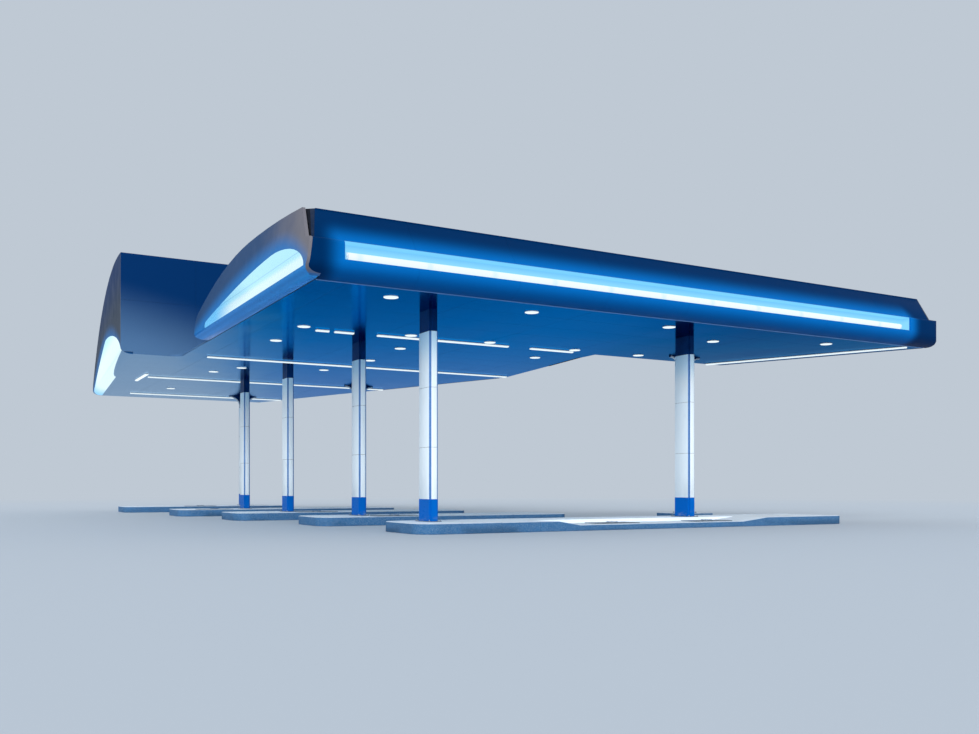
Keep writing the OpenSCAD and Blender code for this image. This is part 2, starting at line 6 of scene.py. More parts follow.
import bmesh
import bpy
from bpy.props import FloatProperty, FloatVectorProperty, PointerProperty
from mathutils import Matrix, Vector


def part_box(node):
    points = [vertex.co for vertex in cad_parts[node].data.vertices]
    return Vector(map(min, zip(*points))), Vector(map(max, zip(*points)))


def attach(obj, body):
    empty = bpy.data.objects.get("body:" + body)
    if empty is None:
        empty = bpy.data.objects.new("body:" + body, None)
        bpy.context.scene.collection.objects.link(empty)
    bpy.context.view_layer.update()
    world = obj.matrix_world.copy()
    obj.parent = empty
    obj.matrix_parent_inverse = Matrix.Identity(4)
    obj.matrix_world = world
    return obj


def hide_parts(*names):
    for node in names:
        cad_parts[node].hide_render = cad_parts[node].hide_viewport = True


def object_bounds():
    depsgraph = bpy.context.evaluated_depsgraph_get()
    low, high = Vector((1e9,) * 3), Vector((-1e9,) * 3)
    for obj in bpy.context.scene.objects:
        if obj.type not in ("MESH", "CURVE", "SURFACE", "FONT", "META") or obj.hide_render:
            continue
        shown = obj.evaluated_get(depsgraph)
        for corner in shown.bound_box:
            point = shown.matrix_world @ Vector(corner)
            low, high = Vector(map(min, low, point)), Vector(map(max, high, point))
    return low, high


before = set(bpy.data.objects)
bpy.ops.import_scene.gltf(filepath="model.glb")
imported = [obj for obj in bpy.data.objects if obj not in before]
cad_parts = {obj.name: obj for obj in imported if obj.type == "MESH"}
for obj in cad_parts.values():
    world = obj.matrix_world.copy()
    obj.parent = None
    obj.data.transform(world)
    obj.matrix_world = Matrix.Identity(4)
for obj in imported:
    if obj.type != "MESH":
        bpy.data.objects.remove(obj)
CAD_LOW, CAD_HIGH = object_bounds()

bl_info = {
    "name": "Filling Station Canopy",
    "version": (1, 0, 0),
    "blender": (4, 5, 0),
    "location": "View3D > Sidebar > Canopy",
    "description": "Adds the seams, joints, lights and finishes of a filling station canopy",
    "category": "Object",
}

RIGHT, BACK, UP = Vector((1, 0, 0)), Vector((0, 1, 0)), Vector((0, 0, 1))

SOFFIT_Z = 5.0
SLAB_Z = 0.22

# Plan lines: a point and the angle at which the line runs in from the y direction
FRONT_LEFT = 1.4
SIDE_LEAN = 7.0
BAR_BACK = 7.0
LEG_LINE = ((12.5, BAR_BACK), -7.125)
LEG_BACK_LINE = ((13.2, 12.6), 19.3)
END_LINE = ((20.172, 0.0), 22.8)
TAPER_LINE = ((0.0, 12.9), -3.7)

# Side views of the wings in metres, back from the front lip and up from the soffit
WINGS = {
    "front_roof": {"crown": 4.6, "rise": 1.61, "fore": 39.0, "rear": 13.0, "back": 9.55},
    "bar_roof": {"crown": 4.6, "rise": 1.61, "fore": 39.0, "rear": 13.0, "back": BAR_BACK},
    "back_roof": {"crown": 16.0, "rise": 3.2, "fore": 24.0, "rear": 24.0, "back": 27.25},
}
LIP_FLASHING = 0.06
SIDE_FLASHING = 0.12
OUTLET_PITCH = 7.5

# Places of the columns and the base plates, right of and behind the front left corner
COLUMN_SPOTS = (
    (5.07, 2.4), (12.64, 2.4), (5.45, 7.6), (5.07, 12.8), (5.07, 18.0), (9.56, 18.0),
    (6.72, 24.5), (15.17, 5.3))
BASE_SPOTS = (
    (9.5, 1.4, 0.155), (12.5, 1.4, 0.155), (6.14, 6.75, 0.24), (5.74, 11.95, 0.24),
    (3.75, 17.15, 0.24), (4.7, 23.65, 0.24))

CLADDING_HEIGHTS = (1.9, 3.25)  # of the joints round a column
RECESS = (0.03, 0.05)  # how deep the recesses in its corners lie
FOOT = Vector((0.16, 0.36, 0))  # from its middle to its foot plate's corner
NUT_SPOT = (0.137, 0.335)
SCREW_CIRCLE = 0.125

BRACKETED = (6, 5, 7)  # the columns whose heads have brackets
BRACKET_EDGE = 0.045  # how deep a bracket's plate is at its two ends
RIM_DEPTH, RIM_WIDTH = 0.04, 0.076

# Joints: how wide they are, and how deep where that differs
FASCIA_JOINT = 0.004
PLANK_JOINT = 0.006
KERB_JOINT = 0.006
SLAB_JOINT = (0.008, 0.006)
CLADDING_JOINT = (0.006, 0.005)
LENS_PROUD = 0.012

MERGE = 0.0002  # corners that are closer than this are one

# The camera as fitted to the picture, in its pixels
PICTURE_WIDTH = 979
FOCAL_LENGTH = 946.142
HORIZON = 488.145
MIDDLE_ROW = 367


def linear(code):
    """Turns an sRGB hex colour into the linear values that colour sockets take."""
    parts = [int(code[i:i + 2], 16) / 255 for i in (1, 3, 5)]
    return [p / 12.92 if p <= 0.04045 else ((p + 0.055) / 1.055) ** 2.4 for p in parts]


def at(x, y, z=0.0):
    """A place given from the canopy's front left corner, in the row frame."""
    return Vector((CAD_LOW.x + x, CAD_LOW.y + y, z))


def plan(point):
    """The reverse of at(): metres right of and behind the canopy's front left corner."""
    return point.x - CAD_LOW.x, point.y - CAD_LOW.y


def length(name, description, default, low, high):
    """A setting in metres."""
    return FloatProperty(
        name=name, description=description, default=default, min=low, max=high, unit="LENGTH")


class CanopySizes(bpy.types.PropertyGroup):
    """Sizes of the details that are added to the solids."""

    seam_pitch: length("Seam pitch", "Distance between two standing seams", 0.5, 0.3, 0.9)
    seam_width: length("Seam width", "Thickness of a standing seam", 0.03, 0.02, 0.06)
    seam_height: length("Seam height", "Height of a seam over its sheets", 0.03, 0.01, 0.05)
    joint: length("Joint", "Width and depth of the joints between panels", 0.005, 0.003, 0.02)
    plank_width: length("Plank width", "Soffit planks, front to back", 1.2, 0.3, 2.4)
    plank_length: length("Plank length", "Soffit planks, left to right", 3.0, 1.5, 6.0)
    panel_width: length("Panel width", "Width of the fascia and side panels", 2.4, 1.2, 4.0)
    edge_radius: length("Edge radius", "Rounding of the folded edges", 0.006, 0.002, 0.015)
    kerb_stone: length("Kerb stone", "Length of one kerb stone", 1.0, 0.5, 2.0)
    slab_bay: length("Slab bay", "Distance between the slabs' crack joints", 2.0, 1.0, 4.0)


def colour(name, description, code):
    """A colour setting whose default is an sRGB hex value."""
    return FloatVectorProperty(
        name=name, description=description, default=linear(code), size=3, min=0.0, max=1.0,
        subtype="COLOR")


class CanopyColours(bpy.types.PropertyGroup):
    """Colours of the finishes."""

    column: colour("Column", "White of the column cladding", "#eaf5fb")
    sleeve: colour("Sleeve", "Blue of the base sleeves", "#045eb6")
    collar: colour("Collar", "Navy of the head collars", "#032756")
    fascia: colour("Fascia", "Navy of the fascia, away from its light", "#002b59")
    # Painted light: the slot light's blue glow, painted on the fascia and on the undercurve's band
    fascia_lit: colour("Lit fascia", "Blue of the fascia beside its light", "#0564b0")
    corner: colour("Corner", "Slate of the corner pieces", "#0f2039")
    cheek: colour("Cheek", "Warm grey of the side panels in front", "#716f76")
    cheek_back: colour("Rear cheek", "Slate blue of the side panels behind", "#27476f")
    cheek_low: colour("Low cheek", "Warm slate of the back wing's low sides", "#303c4c")
    # Painted light: the end lights' blue glow, painted on the side panels; the lenses' seam takes
    # the same blue
    cheek_lit: colour("Lit cheek", "Blue of the side panels beside their light", "#1f72b8")
    face_top: colour("Face, top", "Navy of the tall front face's top", "#012b5c")
    face_low: colour("Face, foot", "Grey blue of the tall front face's foot", "#4b6c91")
    soffit: colour("Soffit", "Blue of the soffit", "#41b0d6")
    # Painted shade: the soffit's navy right end
    soffit_deep: colour("Deep soffit", "Navy of the soffit's right end", "#012a4c")
    # Painted light: the soffit's pale far left
    soffit_pale: colour("Pale soffit", "Blue of the soffit's far left", "#d3dfe8")
    undercurve: colour("Undercurve", "Blue of the curve under the left side", "#3fb2ff")
    roof: colour("Roof", "Grey of the roof sheets", "#8d99a6")
    tray: colour("Light tray", "Blue of the light slot's reflector", "#71c8fc")
    # Painted light: the tube's glow on its reflector; also a painted bluish shade on the columns
    # under their heads
    tray_pale: colour("Pale tray", "Blue of the reflector by its tube", "#8edafe")
    glow: colour("Glow", "White of the lit diffusers", "#f2fcfe")
    glow_lens: colour("Lens glow", "White of the end lights' lower band", "#dbf7fd")
    glow_cool: colour("Cool glow", "Cyan of the end lights' upper part", "#a9e6fb")
    kerb: colour("Kerb", "Blue grey of the kerb stones", "#356a98")
    slab: colour("Slab", "Pale concrete of the islands", "#ebf6ff")
    # Painted highlight: the pale of the brackets' undersides and rims
    bracket: colour("Bracket", "Pale blue of the brackets' rims", "#d5e5f3")
    steel: colour("Steel", "Grey of the primed steel", "#6a7078")
    trim: colour("Trim", "Pale blue of the anodised trims", "#5f90cc")
    dust: colour("Dust", "Road dust on low surfaces", "#8f9aa3")
    floor: colour("Floor", "Pale studio floor", "#bfc9d4")


SMOOTH = {"interpolation_type": "SMOOTHSTEP"}
RGBA = {"data_type": "RGBA"}
TIMES = {"operation": "MULTIPLY"}
LESS = {"operation": "SUBTRACT"}
MORE = {"operation": "ADD"}
MOST = {"operation": "MAXIMUM"}
POWER = {"operation": "POWER"}
SINE = {"operation": "SINE"}
SIZE = {"operation": "ABSOLUTE"}

MM = 1000  # a noise's scale counts waves in a metre, so MM / 400 has waves of 400 mm

# Reliefs: the length of a wave in mm with the noise's detail, and the depth in metres
PEEL = ((15, 2.0), 0.00015)  # orange peel is 2 mm wide; 15 mm shows
WAVES = ((1100, 1.0), 0.0005)  # composite sheets are flat to half a millimetre over a metre

OWN_LIGHT = 0.12  # a lit surface shows its own light and little of what falls on it


def fill(tree, made, *inputs):
    """Fills a shader node's sockets, named or in order, with values or other nodes' outputs."""
    if inputs and isinstance(inputs[0], dict):
        pairs = [(made.inputs[name], value) for name, value in inputs[0].items()]
    else:
        pairs = zip([socket for socket in made.inputs if socket.enabled], inputs)
    for socket, value in pairs:
        if isinstance(value, bpy.types.NodeSocket):
            tree.links.new(value, socket)
        elif socket.type == "RGBA" and len(value) == 3:
            socket.default_value = (*value, 1.0)
        else:
            socket.default_value = value


def node(tree, kind, *inputs, out=0, **settings):
    """Adds a shader node with its settings and links, and gives back one of its outputs."""
    made = tree.nodes.new("ShaderNode" + kind)
    for name, value in settings.items():
        setattr(made, name, value)
    fill(tree, made, *inputs)
    if isinstance(out, str):
        return made.outputs[out]
    return [socket for socket in made.outputs if socket.enabled][out]


def finish(maker):
    """The material that a maker describes, built the first time that it is asked for."""
    name = maker.__name__
    if name not in bpy.data.materials:
        material = bpy.data.materials.new(name)
        material.use_nodes = True
        tree = material.node_tree
        add = functools.partial(node, tree)
        where = add("TexCoord", out="Object")
        inputs = maker(add, where, bpy.context.scene.canopy_colours)
        fill(tree, tree.nodes["Principled BSDF"], inputs)
    return bpy.data.materials[name]


def darker(tone, share):
    """A colour that gives back only a share of its light."""
    return [share * part for part in tone]


def coating(add, where, tone, wear, rough, relief=None, depth=0.0, shine=0.5, tint="#ffffff",
            metal=0.0, span=(0.3, 0.7), strength=1.0):
    """What a surface gives to its shader.

    The roughness follows a pattern of wear, over the span of its values. The relief is a pattern
    too, or else the length of a wave in mm and its detail.
    """
    inputs = {
        "Base Color": tone, "Roughness": add("MapRange", wear, *span, *rough),
        "Specular IOR Level": shine, "Specular Tint": linear(tint), "Metallic": metal}
    if isinstance(relief, tuple):
        relief = add("TexNoise", where, MM / relief[0], relief[1])
    if relief:
        inputs["Normal"] = add("Bump", {"Height": relief, "Distance": depth, "Strength": strength})
    return inputs


def lit(add, where, tone, light, *wear, **more):
    """What a diffuser or a reflector that is lit gives to its shader; on a reflector, which is no
    lamp, the glow is painted light.
    """
    faint = add("Mix", OWN_LIGHT, (0, 0, 0), tone, **RGBA)
    return coating(add, where, faint, *wear, **more) | {
        "Emission Color": tone, "Emission Strength": light}


def column_powder_coat(add, where, hue):
    """Powder-coated aluminium: satin white, with a painted bluish shade under the head, fine orange
    peel, dust low.
    """
    z = add("SeparateXYZ", where, out=2)
    upright = add("Mapping", {"Vector": where, "Scale": (1, 1, 0.25)})
    cloud = add("TexNoise", upright, MM / 400, 3.0)
    haze = add("MapRange", cloud, 0.3, 0.7, 0.0, 0.08, **SMOOTH)
    # Painted shade: the column turns bluish under its head, where the collar shades it
    high = add("MapRange", z, 3.7, 4.4, 0.0, 0.4, **SMOOTH)
    low = add("MapRange", z, 0.73, 1.4, 0.35, 0.0, **SMOOTH)
    dusty = add("Math", low, cloud, **TIMES)
    tone = add("Mix", haze, hue.column, hue.dust, **RGBA)
    tone = add("Mix", high, tone, hue.tray_pale, **RGBA)
    tone = add("Mix", dusty, tone, hue.dust, **RGBA)
    return coating(add, where, tone, cloud, (0.30, 0.42), *PEEL, 0.4)


def sleeve_powder_coat(add, where, hue):
    """Powder-coated aluminium: deep blue, glossier, scuffed and dusty low down."""
    z = add("SeparateXYZ", where, out=2)
    upright = add("Mapping", {"Vector": where, "Scale": (0.33, 0.33, 1)})
    scuff = add("TexNoise", upright, MM / 60, 4.0)
    low = add("MapRange", z, 0.22, 0.42, 0.5, 0.0, **SMOOTH)
    rubbed = add("MapRange", scuff, 0.48, 0.7, **SMOOTH)
    dusty = add("Math", low, rubbed, **TIMES)
    tone = add("Mix", dusty, hue.sleeve, hue.dust, **RGBA)
    return coating(add, where, tone, scuff, (0.25, 0.4), *PEEL, 0.03, "#5aa2ff")


def collar_powder_coat(add, where, hue):
    """Powder-coated aluminium: navy, satin, almost clean because nothing touches it."""
    cloud = add("TexNoise", where, MM / 250, 3.0)
    some = add("MapRange", cloud, 0.3, 0.7, 0.0, 0.12, **SMOOTH)
    tone = add("Mix", some, hue.collar, hue.sleeve, **RGBA)
    return coating(add, where, tone, cloud, (0.32, 0.45), *PEEL, 0.15, "#5a92e0")


def bracket_lacquer(add, where, hue):
    """Lacquered steel plate: pale blue grey as a painted highlight, satin, with faint rolling
    marks.
    """
    upright = add("Mapping", {"Vector": where, "Scale": (1, 1, 0.2)})
    marks = add("TexNoise", upright, MM / 80, 3.0)
    tone = add("Mix", marks, darker(hue.bracket, 0.75), hue.bracket, **RGBA)
    return coating(add, where, tone, marks, (0.3, 0.45), marks, 0.0002)


def fascia_composite(add, where, hue):
    """Coil-coated aluminium composite: navy, satin, with the light slot's soft blue glow painted on
    near it.
    """
    low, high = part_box("light_tray")
    x, _, z = add("SeparateXYZ", where).node.outputs
    above = add("Math", z, high.z, **LESS)
    above = add("Math", above, 1.2, **TIMES)
    below = add("Math", low.z, z, **LESS)
    below = add("Math", below, 0.75, **TIMES)
    height = add("Math", above, below, **MOST)
    height = add("Math", height, 0.0, **MOST)
    left = add("Math", low.x, x, **LESS)
    right = add("Math", x, high.x, **LESS)
    along = add("Math", left, right, **MOST)
    along = add("Math", along, 0.0, **MOST)
    along = add("Math", along, 1.3, **TIMES)
    height = add("Math", height, height, **TIMES)
    along = add("Math", along, along, **TIMES)
    away = add("Math", height, along, **MORE)
    away = add("Math", away, operation="SQRT")
    # Painted light: the glow fades with the distance from the light tray
    near = add("MapRange", away, 0.0, 0.72, 1.0, 0.0, **SMOOTH)
    near = add("Math", near, 1.8, **POWER)
    cloud = add("TexNoise", where, MM / 900, 2.0)
    plain = add("Mix", cloud, darker(hue.fascia, 0.85), hue.fascia, **RGBA)
    tone = add("Mix", near, plain, hue.fascia_lit, **RGBA)
    return coating(add, where, tone, cloud, (0.46, 0.56), *WAVES, 0.02, "#4a9cf0")


def corner_composite(add, where, hue):
    """Coil-coated aluminium composite: dark slate, with faint upright streaks of rain and dust."""
    upright = add("Mapping", {"Vector": where, "Scale": (1, 1, 0.08)})
    streaks = add("TexNoise", upright, MM / 50, 3.0)
    some = add("MapRange", streaks, 0.3, 0.7, 0.0, 0.05, **SMOOTH)
    tone = add("Mix", some, hue.corner, hue.cheek, **RGBA)
    return coating(add, where, tone, streaks, (0.35, 0.5), *WAVES, 0.15, "#8fb4e8")


def beside_light(add, where, lens, peak, tail_drop, nose_ratio, most, power):
    """How much of an end light's painted glow a place gets, from its height over the light's upper
    edge.

    The edge is drawn as two half parabolas that meet at the peak: tail_drop is the tail's fall in
    a metre, squared, and nose_ratio is how much faster the nose falls, before squaring.
    """
    _, y, z = add("SeparateXYZ", where).node.outputs
    _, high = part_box(lens)
    run = add("Math", y, CAD_LOW.y + peak, **LESS)
    nose = add("Math", run, -nose_ratio, **TIMES)
    run = add("Math", run, nose, **MOST)
    run = add("Math", run, run, **TIMES)
    bow = add("Math", run, tail_drop, **TIMES)
    over = add("Math", z, high.z, **LESS)
    over = add("Math", over, bow, **MORE)
    near = add("MapRange", over, 0.0, 0.5, most, 0.0, **SMOOTH)
    return add("Math", near, power, **POWER)


def front_cheek_composite(add, where, hue):
    """Matt coil coating on composite: warm grey in front, slate behind, with the light's blue glow
    painted on beside it.
    """
    y = add("SeparateXYZ", where, out=1)
    cloud = add("TexNoise", where, MM / 700, 3.0)
    place = add("Math", cloud, 1.6, **TIMES)
    place = add("Math", place, y, **MORE)
    back = add("MapRange", place, CAD_LOW.y + 0.9, CAD_LOW.y + 4.9, **SMOOTH)
    plain = add("Mix", back, hue.cheek, hue.cheek_back, **RGBA)
    # Painted light: the end light's glow, only on the faces that turn to the side
    near = beside_light(add, where, "front_lens", 2.5, 0.016, 2.86, 0.9, 1.3)
    facing = add("SeparateXYZ", add("NewGeometry", out="Normal"), out=1)
    beside = add("MapRange", facing, -0.6, -0.2, **SMOOTH)
    near = add("Math", near, beside, **TIMES)
    tone = add("Mix", near, plain, hue.cheek_lit, **RGBA)
    return coating(add, where, tone, cloud, (0.5, 0.62), *WAVES, 0.08)


def back_cheek_composite(add, where, hue):
    """Matt coil coating on composite: navy at the top, warm slate low, with the light's blue glow
    painted on beside it.
    """
    z = add("SeparateXYZ", where, out=2)
    cloud = add("TexNoise", where, MM / 700, 3.0)
    low = add("MapRange", z, SOFFIT_Z + 1.2, SOFFIT_Z + 3.0, 1.0, 0.0, **SMOOTH)
    plain = add("Mix", low, hue.fascia, hue.cheek_low, **RGBA)
    # Painted light: the end light's glow
    near = beside_light(add, where, "back_left_lens", 19.4, 0.021, 1.17, 0.7, 1.4)
    tone = add("Mix", near, plain, hue.cheek_lit, **RGBA)
    return coating(add, where, tone, cloud, (0.5, 0.62), *WAVES, 0.08)


def end_cheek_composite(add, where, hue):
    """Coil-coated composite of the right end and the step: dark navy with faint rain streaks."""
    upright = add("Mapping", {"Vector": where, "Scale": (1, 1, 0.2)})
    streaks = add("TexNoise", upright, MM / 300, 3.0)
    tone = add("Mix", streaks, darker(hue.fascia, 0.6), hue.corner, **RGBA)
    return coating(add, where, tone, streaks, (0.34, 0.46), *WAVES, 0.05, "#8fb4e8")


def face_composite(add, where, hue):
    """Coil-coated composite: navy at the top, grey blue towards the foot and the left."""
    x, _, z = add("SeparateXYZ", where).node.outputs
    wave = add("TexNoise", where, MM / 1500, 2.0)
    from_left = add("Math", x, CAD_LOW.x, **LESS)
    height = add("Math", from_left, 0.26, **TIMES)
    height = add("Math", height, z, **MORE)
    bend = add("Math", wave, 0.25, **TIMES)
    height = add("Math", height, bend, **MORE)
    foot = add("MapRange", height, SOFFIT_Z + 0.2, SOFFIT_Z + 2.5, 1.0, 0.0, **SMOOTH)
    tone = add("Mix", foot, hue.face_top, hue.face_low, **RGBA)
    return coating(add, where, tone, wave, (0.36, 0.46), *WAVES, 0.15, "#6fa8ec")


def soffit_lacquer(add, where, hue):
    """Aluminium planks under clear blue lacquer: a tinted mirror, with painted shade towards the
    right end and painted light and a paler painted reflection tint towards the far left.
    """
    x, y, _ = add("SeparateXYZ", where).node.outputs
    turned = add("Mapping", {"Vector": where, "Scale": (1, 0.5, 1)})
    wave = add("TexNoise", turned, MM / 900, 2.0)
    far = add("Math", y, 0.35, **TIMES)
    far = add("Math", far, x, **LESS)
    bend = add("Math", wave, 2.0, **TIMES)
    far = add("Math", far, bend, **MORE)
    # Painted shade towards the right end and painted light towards the far left
    blue = add("MapRange", far, -8.0, -1.0, **SMOOTH)
    pale = add("MapRange", far, 4.5, 10.5, **SMOOTH)
    tone = add("Mix", blue, hue.soffit_deep, hue.soffit, **RGBA)
    tone = add("Mix", pale, tone, hue.soffit_pale, **RGBA)
    # Painted reflection: the mirror's tint turns pale towards the far left
    edge = add("Mix", pale, linear("#2a9ade"), linear("#a9c8e4"), **RGBA)
    return coating(add, where, tone, wave, (0.12, 0.18), metal=1.0) | {"Specular Tint": edge}


def undercurve_lacquer(add, where, hue):
    """Formed aluminium under blue gloss lacquer, with the end light's blue glow painted in a band
    at its top.
    """
    z = add("SeparateXYZ", where, out=2)
    wave = add("TexNoise", where, MM / 900, 2.0)
    # Painted light: the glow of the end light just above the band
    band = add("MapRange", z, SOFFIT_Z + 0.03, SOFFIT_Z + 0.08, 0.0, 0.4, **SMOOTH)
    tone = add("Mix", wave, darker(hue.undercurve, 0.85), hue.undercurve, **RGBA)
    tone = add("Mix", band, tone, hue.fascia_lit, **RGBA)
    return coating(add, where, tone, wave, (0.12, 0.2), tint="#8fbcf0", metal=0.6)


def roof_coil_coat(add, where, hue):
    """Coil-coated steel sheet: grey, satin, with dust washed down the slope."""
    down = add("Mapping", {"Vector": where, "Scale": (1, 0.07, 0.07)})
    streaks = add("TexNoise", down, MM / 120, 4.0)
    cloud = add("TexNoise", where, MM / 1400, 3.0)
    dusty = add("MapRange", cloud, 0.5, 0.8, 0.0, 0.4, **SMOOTH)
    tone = add("Mix", streaks, darker(hue.roof, 0.8), hue.roof, **RGBA)
    tone = add("Mix", dusty, tone, hue.dust, **RGBA)
    # Oil canning: waves of about 350 mm and less than a millimetre deep
    return coating(add, where, tone, streaks, (0.38, 0.55), (350, 1.0), 0.0006, metal=0.3)


def valley_membrane(add, where, hue):
    """Welded roofing membrane: matt grey, mottled where water dries."""
    pools = add("TexNoise", where, MM / 800, 4.0)
    dried = add("MapRange", pools, 0.35, 0.65, **SMOOTH)
    tone = add("Mix", dried, darker(hue.roof, 0.6), hue.steel, **RGBA)
    # The granules are 1 mm; 12 mm shows
    return coating(add, where, tone, pools, (0.7, 0.9), (12, 2.0), 0.0005)


def tray_enamel(add, where, hue):
    """Enamelled reflector: sky blue, with a painted glow along its whole length, paler towards the
    tube.
    """
    z = add("SeparateXYZ", where, out=2)
    low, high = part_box("light_tray")
    # Painted light: paler where the tube is nearest
    pale = add("MapRange", z, low.z + 0.2, high.z + 0.05, 1.0, 0.0, **SMOOTH)
    long_way = add("Mapping", {"Vector": where, "Scale": (0.25, 1, 1)})
    ripple = add("TexNoise", long_way, MM / 250, 2.0)
    tone = add("Mix", pale, hue.tray, hue.tray_pale, **RGBA)
    # Painted light: the reflector glows though it is no lamp
    return lit(add, where, tone, 0.88, ripple, (0.3, 0.45), ripple, 0.0003, 0.2)


def tube_opal(add, where, hue):
    """Opal acrylic tube, lit: nearly white, a touch cooler where two lamps meet inside."""
    x = add("SeparateXYZ", where)
    # The lamps inside are 1.5 m long
    beat = add("Math", x, math.pi / 1.5, **TIMES)
    beat = add("Math", beat, **SINE)
    beat = add("Math", beat, **SIZE)
    cool = add("MapRange", beat, 0.0, 0.25, 0.3, 0.0, **SMOOTH)
    tone = add("Mix", cool, hue.glow, hue.glow_cool, **RGBA)
    haze = add("TexNoise", where, MM / 30, 2.0)
    return lit(add, where, tone, 0.86, haze, (0.2, 0.3))


def lens_light(add, where, hue, lens, band, tail_from, tail_to):
    """Opal acrylic, lit: a white band along the foot, cyan above it, blue at the tail."""
    _, y, z = add("SeparateXYZ", where).node.outputs
    low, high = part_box(lens)
    reach = high.y - low.y
    rise = add("Math", z, low.z, **LESS)
    upper = add("MapRange", rise, band * 0.7, band * 1.5, **SMOOTH)
    joint = add("Math", rise, band * 1.7, **LESS)
    joint = add("Math", joint, **SIZE)
    joint = add("MapRange", joint, 0.006, 0.016, 0.3, 0.0, **SMOOTH)
    tail = add("MapRange", y, low.y + tail_from * reach, low.y + tail_to * reach, **SMOOTH)
    tone = add("Mix", upper, hue.glow_lens, hue.glow_cool, **RGBA)
    tone = add("Mix", tail, tone, hue.tray, **RGBA)
    tone = add("Mix", joint, tone, hue.cheek_lit, **RGBA)
    haze = add("TexNoise", where, MM / 40, 2.0)
    return lit(add, where, tone, 0.84, haze, (0.2, 0.32))


def front_lens_opal(add, where, hue):
    """Lit opal acrylic of the front wing's end lights."""
    return lens_light(add, where, hue, "front_lens", 0.2, 0.62, 0.88)


def back_lens_opal(add, where, hue):
    """Lit opal acrylic of the back wing's end lights."""
    return lens_light(add, where, hue, "back_left_lens", 0.85, 0.75, 1.0)


def strip_opal(add, where, hue):
    """Ribbed polycarbonate cover, lit from behind: white with fine cross ribs."""
    x = add("SeparateXYZ", where)
    # The ribs are 5 mm apart; 40 mm shows
    ribs = add("Math", x, 2 * math.pi / 0.04, **TIMES)
    ribs = add("Math", ribs, **SINE)
    dip = add("MapRange", ribs, -1.0, 1.0, 0.0, 0.12)
    tone = add("Mix", dip, hue.glow, hue.glow_cool, **RGBA)
    return lit(add, where, tone, 0.95, ribs, (0.25, 0.35), ribs, 0.0005, span=(-1.0, 1.0))


def luminaire_metal(add, where, hue):
    """White enamelled steel of the lights' housings: satin, faintly dusty."""
    cloud = add("TexNoise", where, MM / 60, 3.0)
    dusty = add("MapRange", cloud, 0.3, 0.7, 0.0, 0.3, **SMOOTH)
    tone = add("Mix", dusty, hue.column, hue.dust, **RGBA)
    return coating(add, where, tone, cloud, (0.3, 0.45), PEEL[0], 0.0001)


def precast_kerb(add, where, hue):
    """Precast kerb concrete: blue grey with aggregate and pores, a pale top painted as a highlight,
    rubbed low.
    """
    z = add("SeparateXYZ", where, out=2)
    stones = add("TexVoronoi", where, MM / 18)
    cloud = add("TexNoise", where, MM / 350, 5.0)
    shown = add("MapRange", stones, 0.0, 0.5, 0.25, 0.0, **SMOOTH)
    # Painted highlight: the faces that look up are paler, as light falls on them
    facing = add("SeparateXYZ", add("NewGeometry", out="Normal"), out=2)
    top = add("MapRange", facing, 0.4, 0.9, 0.0, 0.9, **SMOOTH)
    long_way = add("Mapping", {"Vector": where, "Scale": (0.25, 0.25, 1)})
    marks = add("TexNoise", long_way, MM / 500, 3.0)
    marks = add("MapRange", marks, 0.5, 0.62, **SMOOTH)
    low = add("MapRange", z, 0.05, 0.2, 0.45, 0.0, **SMOOTH)
    rub = add("Math", marks, low, **TIMES)
    tone = add("Mix", cloud, darker(hue.kerb, 0.7), hue.kerb, **RGBA)
    tone = add("Mix", shown, tone, hue.slab, **RGBA)
    tone = add("Mix", top, tone, hue.slab, **RGBA)
    tone = add("Mix", rub, tone, darker(hue.kerb, 0.3), **RGBA)
    return coating(add, where, tone, cloud, (0.75, 0.92), stones, 0.0015, 0.3, strength=0.6)


def broomed_slab(add, where, hue):
    """Broomed concrete: pale, with fine drag lines across and soft stains."""
    across_way = add("Mapping", {"Vector": where, "Scale": (1.6, 0.08, 1)})
    # Broom lines are 4 mm apart; 30 mm shows
    drag = add("TexNoise", across_way, MM / 30, 3.0)
    stain = add("TexNoise", where, MM / 900, 5.0)
    dark = darker(hue.slab, 0.75)
    stained = add("MapRange", stain, 0.4, 0.75, 0.0, 0.45, **SMOOTH)
    lines = add("MapRange", drag, 0.3, 0.7, 0.0, 0.22, **SMOOTH)
    tone = add("Mix", stained, hue.slab, dark, **RGBA)
    tone = add("Mix", lines, tone, dark, **RGBA)
    return coating(add, where, tone, stain, (0.78, 0.92), drag, 0.0015, 0.3, strength=0.7)


def galvanised_steel(add, where, hue):
    """Hot-dip galvanised steel: grey metal with a spangle of flat crystals."""
    spangle = add("TexVoronoi", where, MM / 25, out="Color")
    shade = add("SeparateXYZ", spangle)
    tone = add("Mix", shade, darker(hue.roof, 0.7), hue.roof, **RGBA)
    return coating(add, where, tone, shade, (0.35, 0.55), metal=0.8, span=(0.0, 1.0))


def primed_steel(add, where, hue):
    """Shop-primed structural steel: matt grey with mill scale showing through."""
    scale = add("TexNoise", where, MM / 150, 5.0)
    shown = add("MapRange", scale, 0.4, 0.65, **SMOOTH)
    tone = add("Mix", shown, darker(hue.steel, 0.55), hue.steel, **RGBA)
    return coating(add, where, tone, scale, (0.6, 0.8), (20, 3.0), 0.0003)


def joint_rubber(add, where, hue):
    """Rubber sealing strip: near black, matt, slightly dusty."""
    grain = add("TexNoise", where, MM / 25, 3.0)
    dusty = add("MapRange", grain, 0.4, 0.8, 0.0, 0.3, **SMOOTH)
    tone = add("Mix", dusty, darker(hue.corner, 0.18), hue.corner, **RGBA)
    return coating(add, where, tone, grain, (0.7, 0.9), grain, 0.0003, 0.2)


